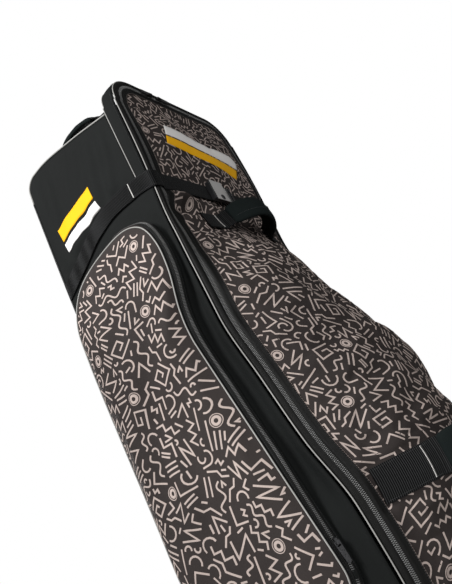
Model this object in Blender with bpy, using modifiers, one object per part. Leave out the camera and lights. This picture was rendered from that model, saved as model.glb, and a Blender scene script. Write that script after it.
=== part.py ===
"""Golf travel case: a wheeled soft bag that stands on its base with the club heads at the top.

Metres, +Z up towards the club heads, +X across the bag, front (the lid) towards -Y.
The origin lies on the floor, in the middle of the base tray's flat underside.
"""
import math

import bmesh
import bpy
import numpy as np
from mathutils import Matrix, Vector

# ---------------------------------------------------------------- driving dimensions
BODY_TOP = 1.275           # top of the lid and of the hoop round it
BACK_Y = 0.150             # outer face of the back panel
TRAY_RIM_Z = 0.0755        # fabric starts above the moulded tray
LID_HINGE_Z = 0.160        # fabric hinge line across the front
CORNER_RADIUS = 0.070      # rounded top corners of the lid
BELLY_POWER = 2.8          # fullness of the lid's bulge across its width
CLOTH = 0.004              # padded fabric wall
WEBBING = 0.0022
SEAM = 0.0008              # open seam between sewn panels
GAP = 0.0004               # clearance between rigid neighbours
REST_GAP = 0.0012          # clearance under what lies on the curved fabric

COIL_INSET = 0.018         # zip coil line, measured over the fabric from the outer edge
TAPE_INSET = 0.034         # inner edge of the lid's own zip tape
PIPING_NOTCH = 0.0042      # corner notch that the piping lies in

HOOP_BACK_Y = -0.1105      # the black hoop behind the lid's top edge ends here
HOOP_LOW_Z = 1.0125
STRAP_Z = 1.000            # cinch strap across the lid
STRAP_WIDTH = 0.036
HANDLE_WEB = 0.040
CARRY_WEB = 0.050

POCKET_BOTTOM_BEND_Z = 0.34
POCKET_TOP_BEND_Z = 0.70
POCKET_FOOT = 0.0034       # the slanted gusset starts this far off the side
POCKET_FRONT_RIM = 0.0185  # and ends this far off it beside the zip
POCKET_BACK_RIM = 0.0330   # and this far off it towards the back
POCKET_FACE_STEP = 0.0030
POCKET_BULGE = 0.024
POCKET_FLARE = 0.012       # the gusset is this much wider at the side panel

WHEEL_RADIUS = 0.036
WHEEL_X = 0.129
WHEEL_Y = 0.132
WHEEL_Z = WHEEL_RADIUS + 0.0015
AXLE_RADIUS = 0.004
BORE_RADIUS = 0.0044

BODY_MIDDLE = Vector((0.0, 0.0, 0.65))

CLOTH_BLACK = (0.022, 0.026, 0.027)
PRINT_BROWN = (0.075, 0.060, 0.055)
PIPING_GREY = (0.55, 0.53, 0.50)
WEB_BLACK = (0.010, 0.010, 0.011)
PLASTIC_BLACK = (0.015, 0.015, 0.016)
METAL_GREY = (0.45, 0.44, 0.42)
FOAM_GREY = (0.16, 0.16, 0.17)
LINING_GREY = (0.09, 0.09, 0.10)


# ---------------------------------------------------------------- profiles of the soft body
def smooth_profile(stations, values):
    """A monotone cubic curve through a few stations."""
    stations = np.array(stations)
    values = np.array(values)
    step = np.diff(stations)
    slope = np.diff(values) / step
    tangent = np.concatenate(([slope[0]], np.zeros(len(slope) - 1), [slope[-1]]))
    for i in range(1, len(slope)):
        if slope[i - 1] * slope[i] > 0:
            tangent[i] = 2 * slope[i - 1] * slope[i] / (slope[i - 1] + slope[i])

    def value(at):
        at = min(max(at, stations[0]), stations[-1])
        i = min(int(np.searchsorted(stations, at, side="right")) - 1, len(step) - 1)
        t = (at - stations[i]) / step[i]
        return float(
            values[i] * (1 + 2 * t) * (1 - t) ** 2
            + tangent[i] * step[i] * t * (1 - t) ** 2
            + values[i + 1] * t * t * (3 - 2 * t)
            - tangent[i + 1] * step[i] * t * t * (1 - t)
        )

    return value


half_width = smooth_profile([0.05, 0.30, 0.50, 0.75, 1.00, 1.28], [0.160, 0.180, 0.187, 0.194, 0.1955, 0.1955])
edge_y = smooth_profile(
    [0.05, 0.16, 0.26, 0.38, 0.49, 0.60, 0.72, 0.90, 1.00, 1.09, 1.28],
    [-0.165, -0.178, -0.193, -0.188, -0.163, -0.148, -0.133, -0.133, -0.139, -0.143, -0.146],
)
belly = smooth_profile(
    [0.05, 0.16, 0.25, 0.38, 0.456, 0.54, 0.63, 0.70, 0.80, 0.88, 0.95, 1.00, 1.12, 1.205, 1.28],
    [0.0, 0.0, 0.075, 0.125, 0.135, 0.137, 0.127, 0.110, 0.068, 0.032, 0.010, 0.004, 0.009, 0.0, 0.0],
)
side_top_z = smooth_profile([-0.110, 0.000, 0.100, 0.150], [1.190, 1.220, 1.238, 1.236])
head_middle_z = smooth_profile([-0.110, 0.000, 0.100, 0.150], [1.266, 1.268, 1.263, 1.252])
strap_side_z = smooth_profile([-0.150, -0.100, -0.037, 0.017, 0.085, 0.152], [1.002, 1.014, 1.020, 1.011, 0.982, 0.953])


def front_y(x, z):
    across = min(abs(x) / half_width(z), 1.0)
    return edge_y(z) - belly(z) * (1 - across ** BELLY_POWER)


def front_normal(x, z):
    across = min(abs(x) / half_width(z), 1.0)
    slope_x = belly(z) * BELLY_POWER * across ** (BELLY_POWER - 1) / half_width(z)
    slope_z = (front_y(x, z + 0.004) - front_y(x, z - 0.004)) / 0.008
    return Vector((math.copysign(slope_x, x), -1.0, slope_z)).normalized()


def cross_section(z):
    """Widths and the length measured over the fabric, from the middle to the edge."""
    x = np.linspace(0.0, 1.0, 49) * half_width(z)
    y = np.array([front_y(float(value), z) for value in x])
    length = np.concatenate(([0.0], np.cumsum(np.hypot(np.diff(x), np.diff(y)))))
    return x, length


def half_girth(z):
    return float(cross_section(z)[1][-1])


def on_front(girth, z, lift=0.0):
    """Point of the front at a distance over the fabric from the middle, lifted off it."""
    x, length = cross_section(z)
    at_x = math.copysign(float(np.interp(abs(girth), length, x)), girth)
    return Vector((at_x, front_y(at_x, z), z)) + lift * front_normal(at_x, z)


TOP_HALF = half_girth(BODY_TOP) - CORNER_RADIUS
CORNER_Z = BODY_TOP - CORNER_RADIUS
SIDE_RUN = CORNER_Z - LID_HINGE_Z
ARC_RUN = CORNER_RADIUS * math.pi / 2
EDGE_RUN = 2 * (SIDE_RUN + ARC_RUN + TOP_HALF)


def lid_edge(along, inset):
    """Girth and height on the lid's outline, from the left hinge end over the top to the right."""
    run = along * EDGE_RUN
    side = -1.0
    if run > EDGE_RUN / 2:
        run = EDGE_RUN - run
        side = 1.0
    if run < SIDE_RUN:
        z = LID_HINGE_Z + run
        return side * (half_girth(z) - inset), z
    if run < SIDE_RUN + ARC_RUN:
        turn = (run - SIDE_RUN) / CORNER_RADIUS
        reach = CORNER_RADIUS - inset
        return side * (TOP_HALF + reach * math.cos(turn)), CORNER_Z + reach * math.sin(turn)
    return side * (TOP_HALF - (run - SIDE_RUN - ARC_RUN)), BODY_TOP - inset


def head_z(x, y):
    across = min(abs(x) / half_width(BODY_TOP), 1.0)
    return side_top_z(y) + (head_middle_z(y) - side_top_z(y)) * (1 - across ** 3.5)


# ---------------------------------------------------------------- building tools
for leftover in list(bpy.data.objects):
    bpy.data.objects.remove(leftover, do_unlink=True)

parts = bpy.data.collections.new("golf_travel_case")
cutters = bpy.data.collections.new("cutters")
bpy.context.scene.collection.children.link(parts)
bpy.context.scene.collection.children.link(cutters)


def finish_of(name, colour, roughness, metallic=0.0):
    material = bpy.data.materials.new(name)
    material.use_nodes = True
    shader = material.node_tree.nodes["Principled BSDF"]
    shader.inputs["Base Color"].default_value = (*colour, 1.0)
    shader.inputs["Roughness"].default_value = roughness
    shader.inputs["Metallic"].default_value = metallic
    return material


def add_part(name, data, colour, roughness, metallic=0.0):
    part = bpy.data.objects.new(name, data)
    part.data.materials.append(finish_of(name, colour, roughness, metallic))
    parts.objects.link(part)
    return part


def sheet(name, columns, rows, place, thickness, colour, outward=True, middle=BODY_MIDDLE, wrap=False):
    """A fabric piece: place(s, t) gives its face, and it gains thickness outwards or inwards."""
    mesh = bpy.data.meshes.new(name)
    skin = bmesh.new()
    bmesh.ops.create_grid(skin, x_segments=columns, y_segments=rows, size=0.5)
    for corner in skin.verts:
        corner.co = place(corner.co.x + 0.5, corner.co.y + 0.5)
    if wrap:
        bmesh.ops.remove_doubles(skin, verts=skin.verts, dist=0.00002)
    skin.normal_update()
    facing = sum((face.calc_center_median() - middle).dot(face.normal) for face in skin.faces)
    if facing < 0:
        bmesh.ops.reverse_faces(skin, faces=skin.faces)
    skin.to_mesh(mesh)
    skin.free()
    mesh.shade_smooth()
    part = add_part(name, mesh, colour, 0.9)
    shell = part.modifiers.new("thickness", "SOLIDIFY")
    shell.thickness = thickness
    shell.offset = 1.0 if outward else -1.0
    shell.use_even_offset = True
    return part


def box(name, low, high, colour, bevel=0.0, roughness=0.6, metallic=0.0):
    mesh = bpy.data.meshes.new(name)
    block = bmesh.new()
    bmesh.ops.create_cube(block, size=1.0)
    for corner in block.verts:
        corner.co = Vector(
            low[axis] + (corner.co[axis] + 0.5) * (high[axis] - low[axis]) for axis in range(3)
        )
    block.to_mesh(mesh)
    block.free()
    part = add_part(name, mesh, colour, roughness, metallic)
    if bevel > 0:
        edge = part.modifiers.new("rounded edges", "BEVEL")
        edge.width = bevel
        edge.segments = 2
    return part


def rod_along_x(name, radius, low_x, high_x, y, z, colour, metallic=0.0):
    mesh = bpy.data.meshes.new(name)
    bar = bmesh.new()
    bmesh.ops.create_cone(
        bar, segments=24, radius1=radius, radius2=radius, depth=high_x - low_x, cap_ends=True
    )
    bar.to_mesh(mesh)
    bar.free()
    part = add_part(name, mesh, colour, 0.35, metallic)
    part.location = ((low_x + high_x) / 2, y, z)
    part.rotation_euler = (0.0, math.pi / 2, 0.0)
    return part


def turned_along_x(name, profile, centre, colour, roughness, steps=28):
    """Turn a closed (radius, height) profile about the X axis."""
    mesh = bpy.data.meshes.new(name)
    count = len(profile)
    mesh.from_pydata(
        [(radius, 0.0, height) for radius, height in profile],
        [(i, (i + 1) % count) for i in range(count)],
        [],
    )
    part = add_part(name, mesh, colour, roughness)
    turn = part.modifiers.new("turn", "SCREW")
    turn.steps = steps
    turn.render_steps = steps
    turn.use_merge_vertices = True
    turn.merge_threshold = 0.00005
    part.location = centre
    part.rotation_euler = (0.0, math.pi / 2, 0.0)
    return part


def cut_away(part, cutter):
    for collection in list(cutter.users_collection):
        collection.objects.unlink(cutter)
    cutters.objects.link(cutter)
    cutter.hide_render = True
    cutter.display_type = "WIRE"
    cut = part.modifiers.new("cut " + cutter.name, "BOOLEAN")
    cut.operation = "DIFFERENCE"
    cut.object = cutter


def cord(name, points, radius, colour, closed=False):
    curve = bpy.data.curves.new(name, "CURVE")
    curve.dimensions = "3D"
    curve.bevel_depth = radius
    curve.bevel_resolution = 1
    curve.use_fill_caps = not closed
    line = curve.splines.new("POLY")
    line.points.add(len(points) - 1)
    for knot, point in zip(line.points, points):
        knot.co = (*point, 1.0)
    line.use_cyclic_u = closed
    return add_part(name, curve, colour, 0.5)


def cut_plate(name, outlines, thickness, placement, colour, roughness=0.4, metallic=0.0):
    """A flat plate from its outline and any holes, in the plane of the placement's X and Y."""
    curve = bpy.data.curves.new(name, "CURVE")
    curve.dimensions = "2D"
    curve.fill_mode = "BOTH"
    curve.extrude = thickness / 2
    for outline in outlines:
        line = curve.splines.new("POLY")
        line.points.add(len(outline) - 1)
        for knot, (x, y) in zip(line.points, outline):
            knot.co = (x, y, 0.0, 1.0)
        line.use_cyclic_u = True
    part = add_part(name, curve, colour, roughness, metallic)
    part.matrix_world = placement
    return part


def placed(origin, x_axis, y_axis):
    """Placement matrix with the given X axis and a Y axis squared up to it."""
    x_axis = Vector(x_axis).normalized()
    z_axis = x_axis.cross(Vector(y_axis)).normalized()
    y_axis = z_axis.cross(x_axis)
    turn = Matrix((x_axis, y_axis, z_axis)).transposed().to_4x4()
    return Matrix.Translation(Vector(origin)) @ turn


# ---------------------------------------------------------------- shell panels
def side_front_y(z):
    if z < HOOP_LOW_Z - 0.002:
        return edge_y(z) + CLOTH + SEAM
    return HOOP_BACK_Y + SEAM


def side_panel(name, side):
    low = TRAY_RIM_Z + SEAM
    front_top = side_top_z(HOOP_BACK_Y) - CLOTH - SEAM
    heights = [low, 0.14, 0.20, 0.26, 0.32, 0.38, 0.45, 0.52, 0.60, 0.68, 0.77, 0.86, 0.94]
    heights += [HOOP_LOW_Z - 0.0045, HOOP_LOW_Z - 0.0005, 1.09, front_top]

    def place(s, t):
        height = heights[round(t * (len(heights) - 1))]
        y = side_front_y(height)
        y += s * (BACK_Y - y)
        top = side_top_z(max(y, HOOP_BACK_Y)) - CLOTH - SEAM
        z = low + (height - low) / (front_top - low) * (top - low)
        return Vector((side * half_width(z), y, z))

    return sheet(name, 5, len(heights) - 1, place, CLOTH, CLOTH_BLACK, outward=False)


def back_panel():
    def place(s, t):
        top = head_z((2 * s - 1) * half_width(1.2), BACK_Y - CLOTH) - CLOTH - 3 * SEAM
        z = TRAY_RIM_Z + SEAM + t * (top - TRAY_RIM_Z - SEAM)
        return Vector(((2 * s - 1) * (half_width(z) - CLOTH - SEAM), BACK_Y, z))

    return sheet("back_panel", 12, 8, place, CLOTH, CLOTH_BLACK, outward=False)


def head_panel():
    def place(s, t):
        y = HOOP_BACK_Y + SEAM + t * (BACK_Y - HOOP_BACK_Y - SEAM)
        x = math.sin((s - 0.5) * math.pi) * half_width(BODY_TOP)
        return Vector((x, y, head_z(x, y)))

    return sheet("head_panel", 14, 6, place, CLOTH * 0.9, CLOTH_BLACK, outward=False)


def head_gusset():
    low = (HOOP_LOW_Z - LID_HINGE_Z) / EDGE_RUN

    def place(s, t):
        girth, z = lid_edge(low + s * (1 - 2 * low), 0.0)
        front = edge_y(z) + CLOTH + SEAM
        return Vector((girth, front + t * (HOOP_BACK_Y - front), z))

    return sheet("head_gusset", 44, 1, place, CLOTH, CLOTH_BLACK, outward=False)


def front_sill():
    def place(s, t):
        z = TRAY_RIM_Z + SEAM + t * (LID_HINGE_Z - TRAY_RIM_Z - 2 * SEAM)
        return Vector(((2 * s - 1) * half_width(z), edge_y(z), z))

    return sheet("front_sill", 4, 3, place, CLOTH, CLOTH_BLACK, outward=False)


def edge_strip(name, low_inset, high_inset, colour):
    """A strip that follows the lid's outline between two distances from its outer edge."""

    def place(s, t):
        girth, z = lid_edge(s, low_inset + t * (high_inset - low_inset))
        return on_front(girth, z)

    return sheet(name, 72, 1, place, CLOTH, colour, outward=False)


def zip_piping():
    points = []
    for step in range(73):
        girth, z = lid_edge(step / 72, PIPING_NOTCH / 2)
        points.append(on_front(girth, z, -PIPING_NOTCH / 2))
    return cord("zip_piping", points, 0.0014, PIPING_GREY)


# ---------------------------------------------------------------- lid
def lid_panel():
    inset = TAPE_INSET + 3 * SEAM
    reach = CORNER_RADIUS - inset
    levels = list(np.linspace(LID_HINGE_Z, 0.32, 6)) + list(np.linspace(0.37, 0.82, 9))
    levels += list(np.linspace(0.86, 1.03, 7))
    levels += list(np.linspace(1.08, CORNER_Z, 4))
    levels += [CORNER_Z + reach * math.sin(math.radians(turn)) for turn in (30, 60, 90)]

    def place(s, t):
        z = float(levels[round(t * (len(levels) - 1))])
        if z > CORNER_Z:
            half = TOP_HALF + math.sqrt(max(reach ** 2 - (z - CORNER_Z) ** 2, 0.0))
        else:
            half = half_girth(z) - inset
        return on_front((2 * s - 1) * half, z)

    return sheet("lid_panel", 16, len(levels) - 1, place, CLOTH, PRINT_BROWN, outward=False)


def lid_strap(name, low_girth, high_girth, z, width, lift, columns, thickness=WEBBING, across=2):
    """Webbing across the lid: lift(s) is its height over the fabric along its length."""

    def place(s, t):
        girth = low_girth + s * (high_girth - low_girth)
        level = z + (t - 0.5) * width
        centre = on_front(girth, z, lift(s))
        flat = on_front(girth, level, lift(s))
        follow = 1.0 if lift(s) < 0.004 else 0.0
        along_face = front_normal(centre.x, z).cross(Vector((1, 0, 0))).normalized()
        tilted = centre + along_face * (t - 0.5) * width
        return flat * follow + tilted * (1 - follow)

    return sheet(name, columns, across, place, thickness, WEB_BLACK)


def bump(s, start, end, height):
    """Smooth rise and fall between two stations."""
    if s <= start or s >= end:
        return 0.0
    return height * math.sin(math.pi * (s - start) / (end - start)) ** 0.8


def sleeve(name, centre_line, width_axis, lift_axis, width, thickness, wall, rings, colour):
    """A padded grip round webbing: a tube of flat oval section along centre_line(s)."""

    def place(s, t):
        turn = 2 * math.pi * t
        across = math.copysign(abs(math.cos(turn)) ** 0.5, math.cos(turn)) * width / 2
        off = math.copysign(abs(math.sin(turn)) ** 0.6, math.sin(turn)) * thickness / 2
        return centre_line(s) + width_axis(s) * across + lift_axis(s) * off

    middle = sum((centre_line(s) for s in (0.0, 0.5, 1.0)), Vector()) / 3
    return sheet(name, rings, 12, place, wall, colour, middle=middle, wrap=True)


def carry_handle(prefix, z, low_girth, high_girth, width, start, end, height):
    """Webbing sewn down at both ends that arches off the lid, with a padded grip round its middle."""

    def lift(s):
        return REST_GAP + bump(s, start, end, height)

    lid_strap(prefix + "_handle_webbing", low_girth, high_girth, z, width, lift, 30, across=1)
    grip_low = start + 0.08 * (end - start)
    grip_high = end - 0.08 * (end - start)

    def webbing_middle(s):
        at = grip_low + s * (grip_high - grip_low)
        girth = low_girth + at * (high_girth - low_girth)
        return on_front(girth, z, lift(at) + WEBBING / 2)

    def along_face(s):
        at = webbing_middle(s)
        return front_normal(at.x, z).cross(Vector((1, 0, 0))).normalized()

    def off_face(s):
        tangent = (webbing_middle(s + 0.01) - webbing_middle(s - 0.01)).normalized()
        return tangent.cross(along_face(s)).normalized()

    sleeve(
        prefix + "_handle_grip", webbing_middle, along_face, off_face,
        width + 0.006, WEBBING + 0.006, 0.0045, 12, CLOTH_BLACK,
    )


# ---------------------------------------------------------------- buckles
def side_release_buckle(prefix, centre, facing, colour=PLASTIC_BLACK):
    """Socket on the -X side and tongue on the +X side; facing is away from the webbing."""
    centre = Vector(centre)
    out = Vector(facing)

    def block(name, low, high, bevel):
        """Box with X, Z in place and its depth measured along facing."""
        depths = sorted((centre.y + out.y * low[1], centre.y + out.y * high[1]))
        return box(
            name,
            (centre.x + low[0], depths[0], centre.z + low[2]),
            (centre.x + high[0], depths[1], centre.z + high[2]),
            colour, bevel,
        )

    socket = block(prefix + "_socket", (-0.045, 0.0, -0.021), (-0.003, 0.010, 0.021), 0.0012)
    cavity = block(prefix + "_cavity", (-0.036, 0.0025, -0.0165), (0.010, 0.0075, 0.0165), 0.0)
    cut_away(socket, cavity)
    outline = [
        (-0.0022, -0.020), (0.030, -0.020), (0.030, 0.020), (-0.0022, 0.020), (-0.0022, 0.015),
        (-0.030, 0.0135), (-0.032, 0.010), (-0.030, 0.0075), (-0.0022, 0.0075),
        (-0.0022, -0.0075), (-0.030, -0.0075), (-0.032, -0.010), (-0.030, -0.0135), (-0.0022, -0.015),
    ]
    slot = [(0.020, -0.017), (0.024, -0.017), (0.024, 0.017), (0.020, 0.017)]
    cut_plate(
        prefix + "_tongue", [outline, slot], 0.0040,
        placed(centre + out * 0.0050, (1, 0, 0), (0, 0, 1)), colour, 0.5,
    )


# ---------------------------------------------------------------- zip sliders and pulls
def zip_slider(name, surface_point, travel, outward):
    """Body and bail of a slider, drawn in the plane of its travel and the fabric's normal."""
    body = [
        (-0.0060, 0.0012), (0.0060, 0.0012), (0.0060, 0.0040), (0.0046, 0.0046), (0.0042, 0.0086),
        (-0.0042, 0.0086), (-0.0046, 0.0046), (-0.0060, 0.0040),
    ]
    eye = [(-0.0032, 0.0050), (0.0032, 0.0050), (0.0030, 0.0074), (-0.0030, 0.0074)]
    cut_plate(name, [body, eye], 0.0042, placed(surface_point, travel, outward), METAL_GREY, 0.35, 1.0)


def pull_axis_point(surface_point, outward):
    return Vector(surface_point) + Vector(outward).normalized() * 0.0062


def zip_pull(name, surface_point, hang, outward):
    """Flat pull whose cross bar passes through the slider's bail."""
    plate = [
        (-0.0007, -0.0044), (0.0070, -0.0044), (0.0280, -0.0036), (0.0300, -0.0018),
        (0.0300, 0.0018), (0.0280, 0.0036), (0.0070, 0.0044), (-0.0007, 0.0044),
    ]
    eye = [(0.0007, -0.0028), (0.0068, -0.0028), (0.0068, 0.0028), (0.0007, 0.0028)]
    hinge_axis = Vector(hang).cross(Vector(outward))
    placement = placed(pull_axis_point(surface_point, outward), hang, hinge_axis)
    cut_plate(name, [plate, eye], 0.0014, placement, METAL_GREY, 0.35, 1.0)


# ---------------------------------------------------------------- side pockets
POCKET_OUTLINE = [
    (-0.1349, POCKET_BOTTOM_BEND_Z), (-0.1218, 0.433), (-0.1081, 0.531), (-0.0972, 0.609),
    (-0.0845, POCKET_TOP_BEND_Z), (-0.0860, 0.760), (-0.1010, 0.830), (-0.1020, 0.888),
    (-0.0840, 0.932), (-0.0380, 0.951), (0.0330, 0.938), (0.0920, 0.908), (0.1240, 0.860),
    (0.1300, 0.790), (0.1300, 0.650), (0.1300, 0.500), (0.1300, 0.380), (0.1180, 0.300),
    (0.0800, 0.258), (0.0, 0.245), (-0.0800, 0.250), (-0.1220, 0.275), (-0.1360, 0.305),
]


def pocket_outline(turn):
    """Closed outline (y, z) through its corner points, straight along the zip's lower front."""
    count = len(POCKET_OUTLINE)
    at = (turn % 1.0) * count
    i = int(at)
    t = at - i
    p0, p1, p2, p3 = (np.array(POCKET_OUTLINE[(i + k) % count]) for k in (-1, 0, 1, 2))
    if i < 4:
        return p1 + t * (p2 - p1)
    return 0.5 * (
        2 * p1 + (p2 - p0) * t + (2 * p0 - 5 * p1 + 4 * p2 - p3) * t ** 2
        + (3 * p1 - p0 - 3 * p2 + p3) * t ** 3
    )


def pocket_point(side, turn, outset, off):
    """Point on the pocket: outset is measured outwards from its outline, off from the side panel."""
    here = pocket_outline(turn)
    ahead = pocket_outline(turn + 0.002) - pocket_outline(turn - 0.002)
    across = np.array((ahead[1], -ahead[0])) / np.hypot(*ahead)
    y, z = here - across * outset
    return Vector((side * (half_width(float(z)) + off), float(y), float(z)))


POCKET_CENTRE = np.array((0.005, 0.60))


def pocket_rim(y):
    """The gusset is taller towards the back of the bag."""
    back = min(max((y + 0.05) / 0.15, 0.0), 1.0)
    return POCKET_FRONT_RIM + (POCKET_BACK_RIM - POCKET_FRONT_RIM) * back * back * (3 - 2 * back)


def side_pocket(prefix, side):
    count = 46

    def gusset(s, t):
        rim = pocket_rim(pocket_outline(s)[0])
        return pocket_point(side, s, POCKET_FLARE * (1 - t), POCKET_FOOT + t * (rim - POCKET_FOOT))

    def face(s, t):
        rim = pocket_point(side, s, -0.003, 0.0)
        reach = math.sin(t * math.pi / 2)
        y = POCKET_CENTRE[0] + (rim.y - POCKET_CENTRE[0]) * reach
        z = POCKET_CENTRE[1] + (rim.z - POCKET_CENTRE[1]) * reach
        off = pocket_rim(rim.y) * reach + pocket_rim(y) * (1 - reach)
        off += POCKET_FACE_STEP + POCKET_BULGE * (1 - reach ** 4)
        return Vector((side * (half_width(z) + off), y, z))

    middle = Vector((side * 0.19, POCKET_CENTRE[0], POCKET_CENTRE[1]))
    sheet(prefix + "_pocket_gusset", count, 1, gusset, 0.002, CLOTH_BLACK, False, middle, True)
    sheet(prefix + "_pocket_face", count, 4, face, 0.002, PRINT_BROWN, False, middle, True)
    piping = []
    for step in range(64):
        rim = pocket_rim(pocket_outline(step / 64)[0])
        piping.append(pocket_point(side, step / 64, 0.0005, rim + 0.0027))
    cord(prefix + "_pocket_piping", piping, 0.0016, PIPING_GREY, closed=True)


def pocket_zip_point(side, z):
    """Middle of the gusset on its straight front run, where the slider travels."""
    run = (z - POCKET_BOTTOM_BEND_Z) / (POCKET_TOP_BEND_Z - POCKET_BOTTOM_BEND_Z)
    middle = (POCKET_FRONT_RIM + POCKET_FOOT) / 2
    return pocket_point(side, run * 4 / len(POCKET_OUTLINE), POCKET_FLARE / 2, middle)


def pocket_zip_frame(side):
    """Place, travel and outward direction of a pocket's slider."""
    low = pocket_zip_point(side, POCKET_BOTTOM_BEND_Z + 0.012)
    high = pocket_zip_point(side, POCKET_TOP_BEND_Z - 0.012)
    outward = Vector((side * POCKET_FLARE, -(POCKET_FRONT_RIM - POCKET_FOOT), 0.0))
    return low, (high - low).normalized(), outward.normalized()


# ---------------------------------------------------------------- straps on the shell
def side_strap(name, side):
    """Cinch strap from the zip coil round the corner, back along the side and on to the middle."""
    lift = 0.0012
    coil = on_front(side * (half_girth(STRAP_Z) - COIL_INSET + SEAM), STRAP_Z)
    edge = edge_y(STRAP_Z)
    wide = half_width(STRAP_Z)
    route = [
        (coil.x, coil.y - 0.0025), (side * (wide - 0.005), edge - 0.0020),
        (side * (wide + lift * 0.7), edge - lift * 0.9), (side * (wide + lift), edge + 0.004),
    ]
    route += [(side * (wide + lift), y) for y in np.linspace(-0.11, BACK_Y - 0.004, 8)]
    route += [
        (side * (wide + lift * 0.7), BACK_Y + lift * 0.7), (side * (wide - 0.004), BACK_Y + lift),
        (side * 0.12, BACK_Y + lift), (side * 0.06, BACK_Y + lift), (side * SEAM, BACK_Y + lift),
    ]

    def place(s, t):
        x, y = route[round(s * (len(route) - 1))]
        z = strap_side_z(y) + (t - 0.5) * STRAP_WIDTH
        return Vector((x, y, z))

    return sheet(name, len(route) - 1, 1, place, WEBBING, WEB_BLACK)


# ---------------------------------------------------------------- base and wheels
def base_tray():
    tray = box("base_tray", (-0.165, -0.171, 0.0), (0.165, 0.153, TRAY_RIM_Z), PLASTIC_BLACK, 0.006)
    cut_away(tray, box("tray_hollow", (-0.158, -0.164, 0.006), (0.158, 0.146, 0.2), PLASTIC_BLACK))
    for side in (-1, 1):
        low, high = sorted((side * (WHEEL_X - 0.0165), side * (WHEEL_X + 0.0165)))
        well = box("wheel_well_%d" % side, (low, 0.0915, -0.01), (high, 0.2, 0.2), PLASTIC_BLACK)
        cut_away(tray, well)


def wheel_set(prefix, side):
    x = side * WHEEL_X

    def across(low, high):
        return sorted((x + side * low, x + side * high))

    outer = across(-0.020, 0.020)
    inner = across(-0.0165, 0.0165)
    housing = box(
        prefix + "_wheel_housing", (outer[0], 0.088, 0.0064), (outer[1], 0.1452, 0.0795), PLASTIC_BLACK
    )
    cut_away(housing, box(prefix + "_wheel_space", (inner[0], 0.0915, -0.01), (inner[1], 0.2, 0.0762), PLASTIC_BLACK))
    bore = rod_along_x(prefix + "_axle_bore", BORE_RADIUS, outer[0] - 0.01, outer[1] + 0.01, WHEEL_Y, WHEEL_Z, METAL_GREY)
    cut_away(housing, bore)
    rod_along_x(
        prefix + "_axle", AXLE_RADIUS, outer[0] - 0.003, outer[1] + 0.003, WHEEL_Y, WHEEL_Z, METAL_GREY, 1.0
    )
    centre = (x, WHEEL_Y, WHEEL_Z)
    hub = [
        (0.0230, 0.011), (0.0230, -0.011), (0.0190, -0.011), (0.0175, -0.006), (0.0100, -0.006),
        (0.0090, -0.0125), (BORE_RADIUS, -0.0125), (BORE_RADIUS, 0.0125), (0.0090, 0.0125),
        (0.0100, 0.006), (0.0175, 0.006), (0.0190, 0.011),
    ]
    turned_along_x(prefix + "_wheel_hub", hub, centre, LINING_GREY, 0.5)
    tyre = [
        (WHEEL_RADIUS - 0.004, 0.0125), (WHEEL_RADIUS - 0.001, 0.0095), (WHEEL_RADIUS, 0.0050),
        (WHEEL_RADIUS, -0.0050), (WHEEL_RADIUS - 0.001, -0.0095), (WHEEL_RADIUS - 0.004, -0.0125),
        (0.0235, -0.0115), (0.0235, 0.0115),
    ]
    turned_along_x(prefix + "_wheel_tyre", tyre, centre, PLASTIC_BLACK, 0.85)


# ---------------------------------------------------------------- assembly
def build_shell():
    base_tray()
    box("base_board", (-0.152, -0.156, 0.0810), (0.152, 0.144, 0.0850), LINING_GREY, 0.0)
    side_panel("left_side_panel", -1)
    side_panel("right_side_panel", 1)
    back_panel()
    head_panel()
    head_gusset()
    front_sill()
    edge_strip("zip_frame", PIPING_NOTCH, COIL_INSET - SEAM / 2, CLOTH_BLACK)
    zip_piping()
    box("left_head_pad", (-0.1900, -0.095, 0.97), (-0.1780, 0.128, 1.165), FOAM_GREY)
    box("right_head_pad", (0.1780, -0.095, 0.97), (0.1900, 0.128, 1.165), FOAM_GREY)
    box("back_head_pad", (-0.1740, 0.132, 0.97), (0.1740, 0.1452, 1.165), FOAM_GREY)
    for prefix, side in (("left", -1), ("right", 1)):
        side_pocket(prefix, side)
        side_strap(prefix + "_side_strap", side)
        wheel_set(prefix, side)
        rail_x = sorted((side * 0.100, side * 0.122))
        box(
            prefix + "_skid_rail", (rail_x[0], BACK_Y + GAP, 0.10), (rail_x[1], BACK_Y + 0.009, 0.46),
            PLASTIC_BLACK, 0.002,
        )


def build_club_straps():
    """Two webbing straps inside, sewn to the back panel, that hold the golf bag."""
    wall = BACK_Y - CLOTH - 0.0008
    for prefix, z in (("lower", 0.42), ("upper", 0.80)):
        for end, low, high in (("left", -0.150, -0.020), ("right", 0.018, 0.150)):
            box(
                prefix + "_club_strap_" + end, (low, wall - WEBBING, z - 0.0125), (high, wall, z + 0.0125),
                WEB_BLACK,
            )
        side_release_buckle(prefix + "_club_buckle", (0.0, wall - WEBBING - GAP, z), (0.0, -1.0, 0.0))


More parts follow.
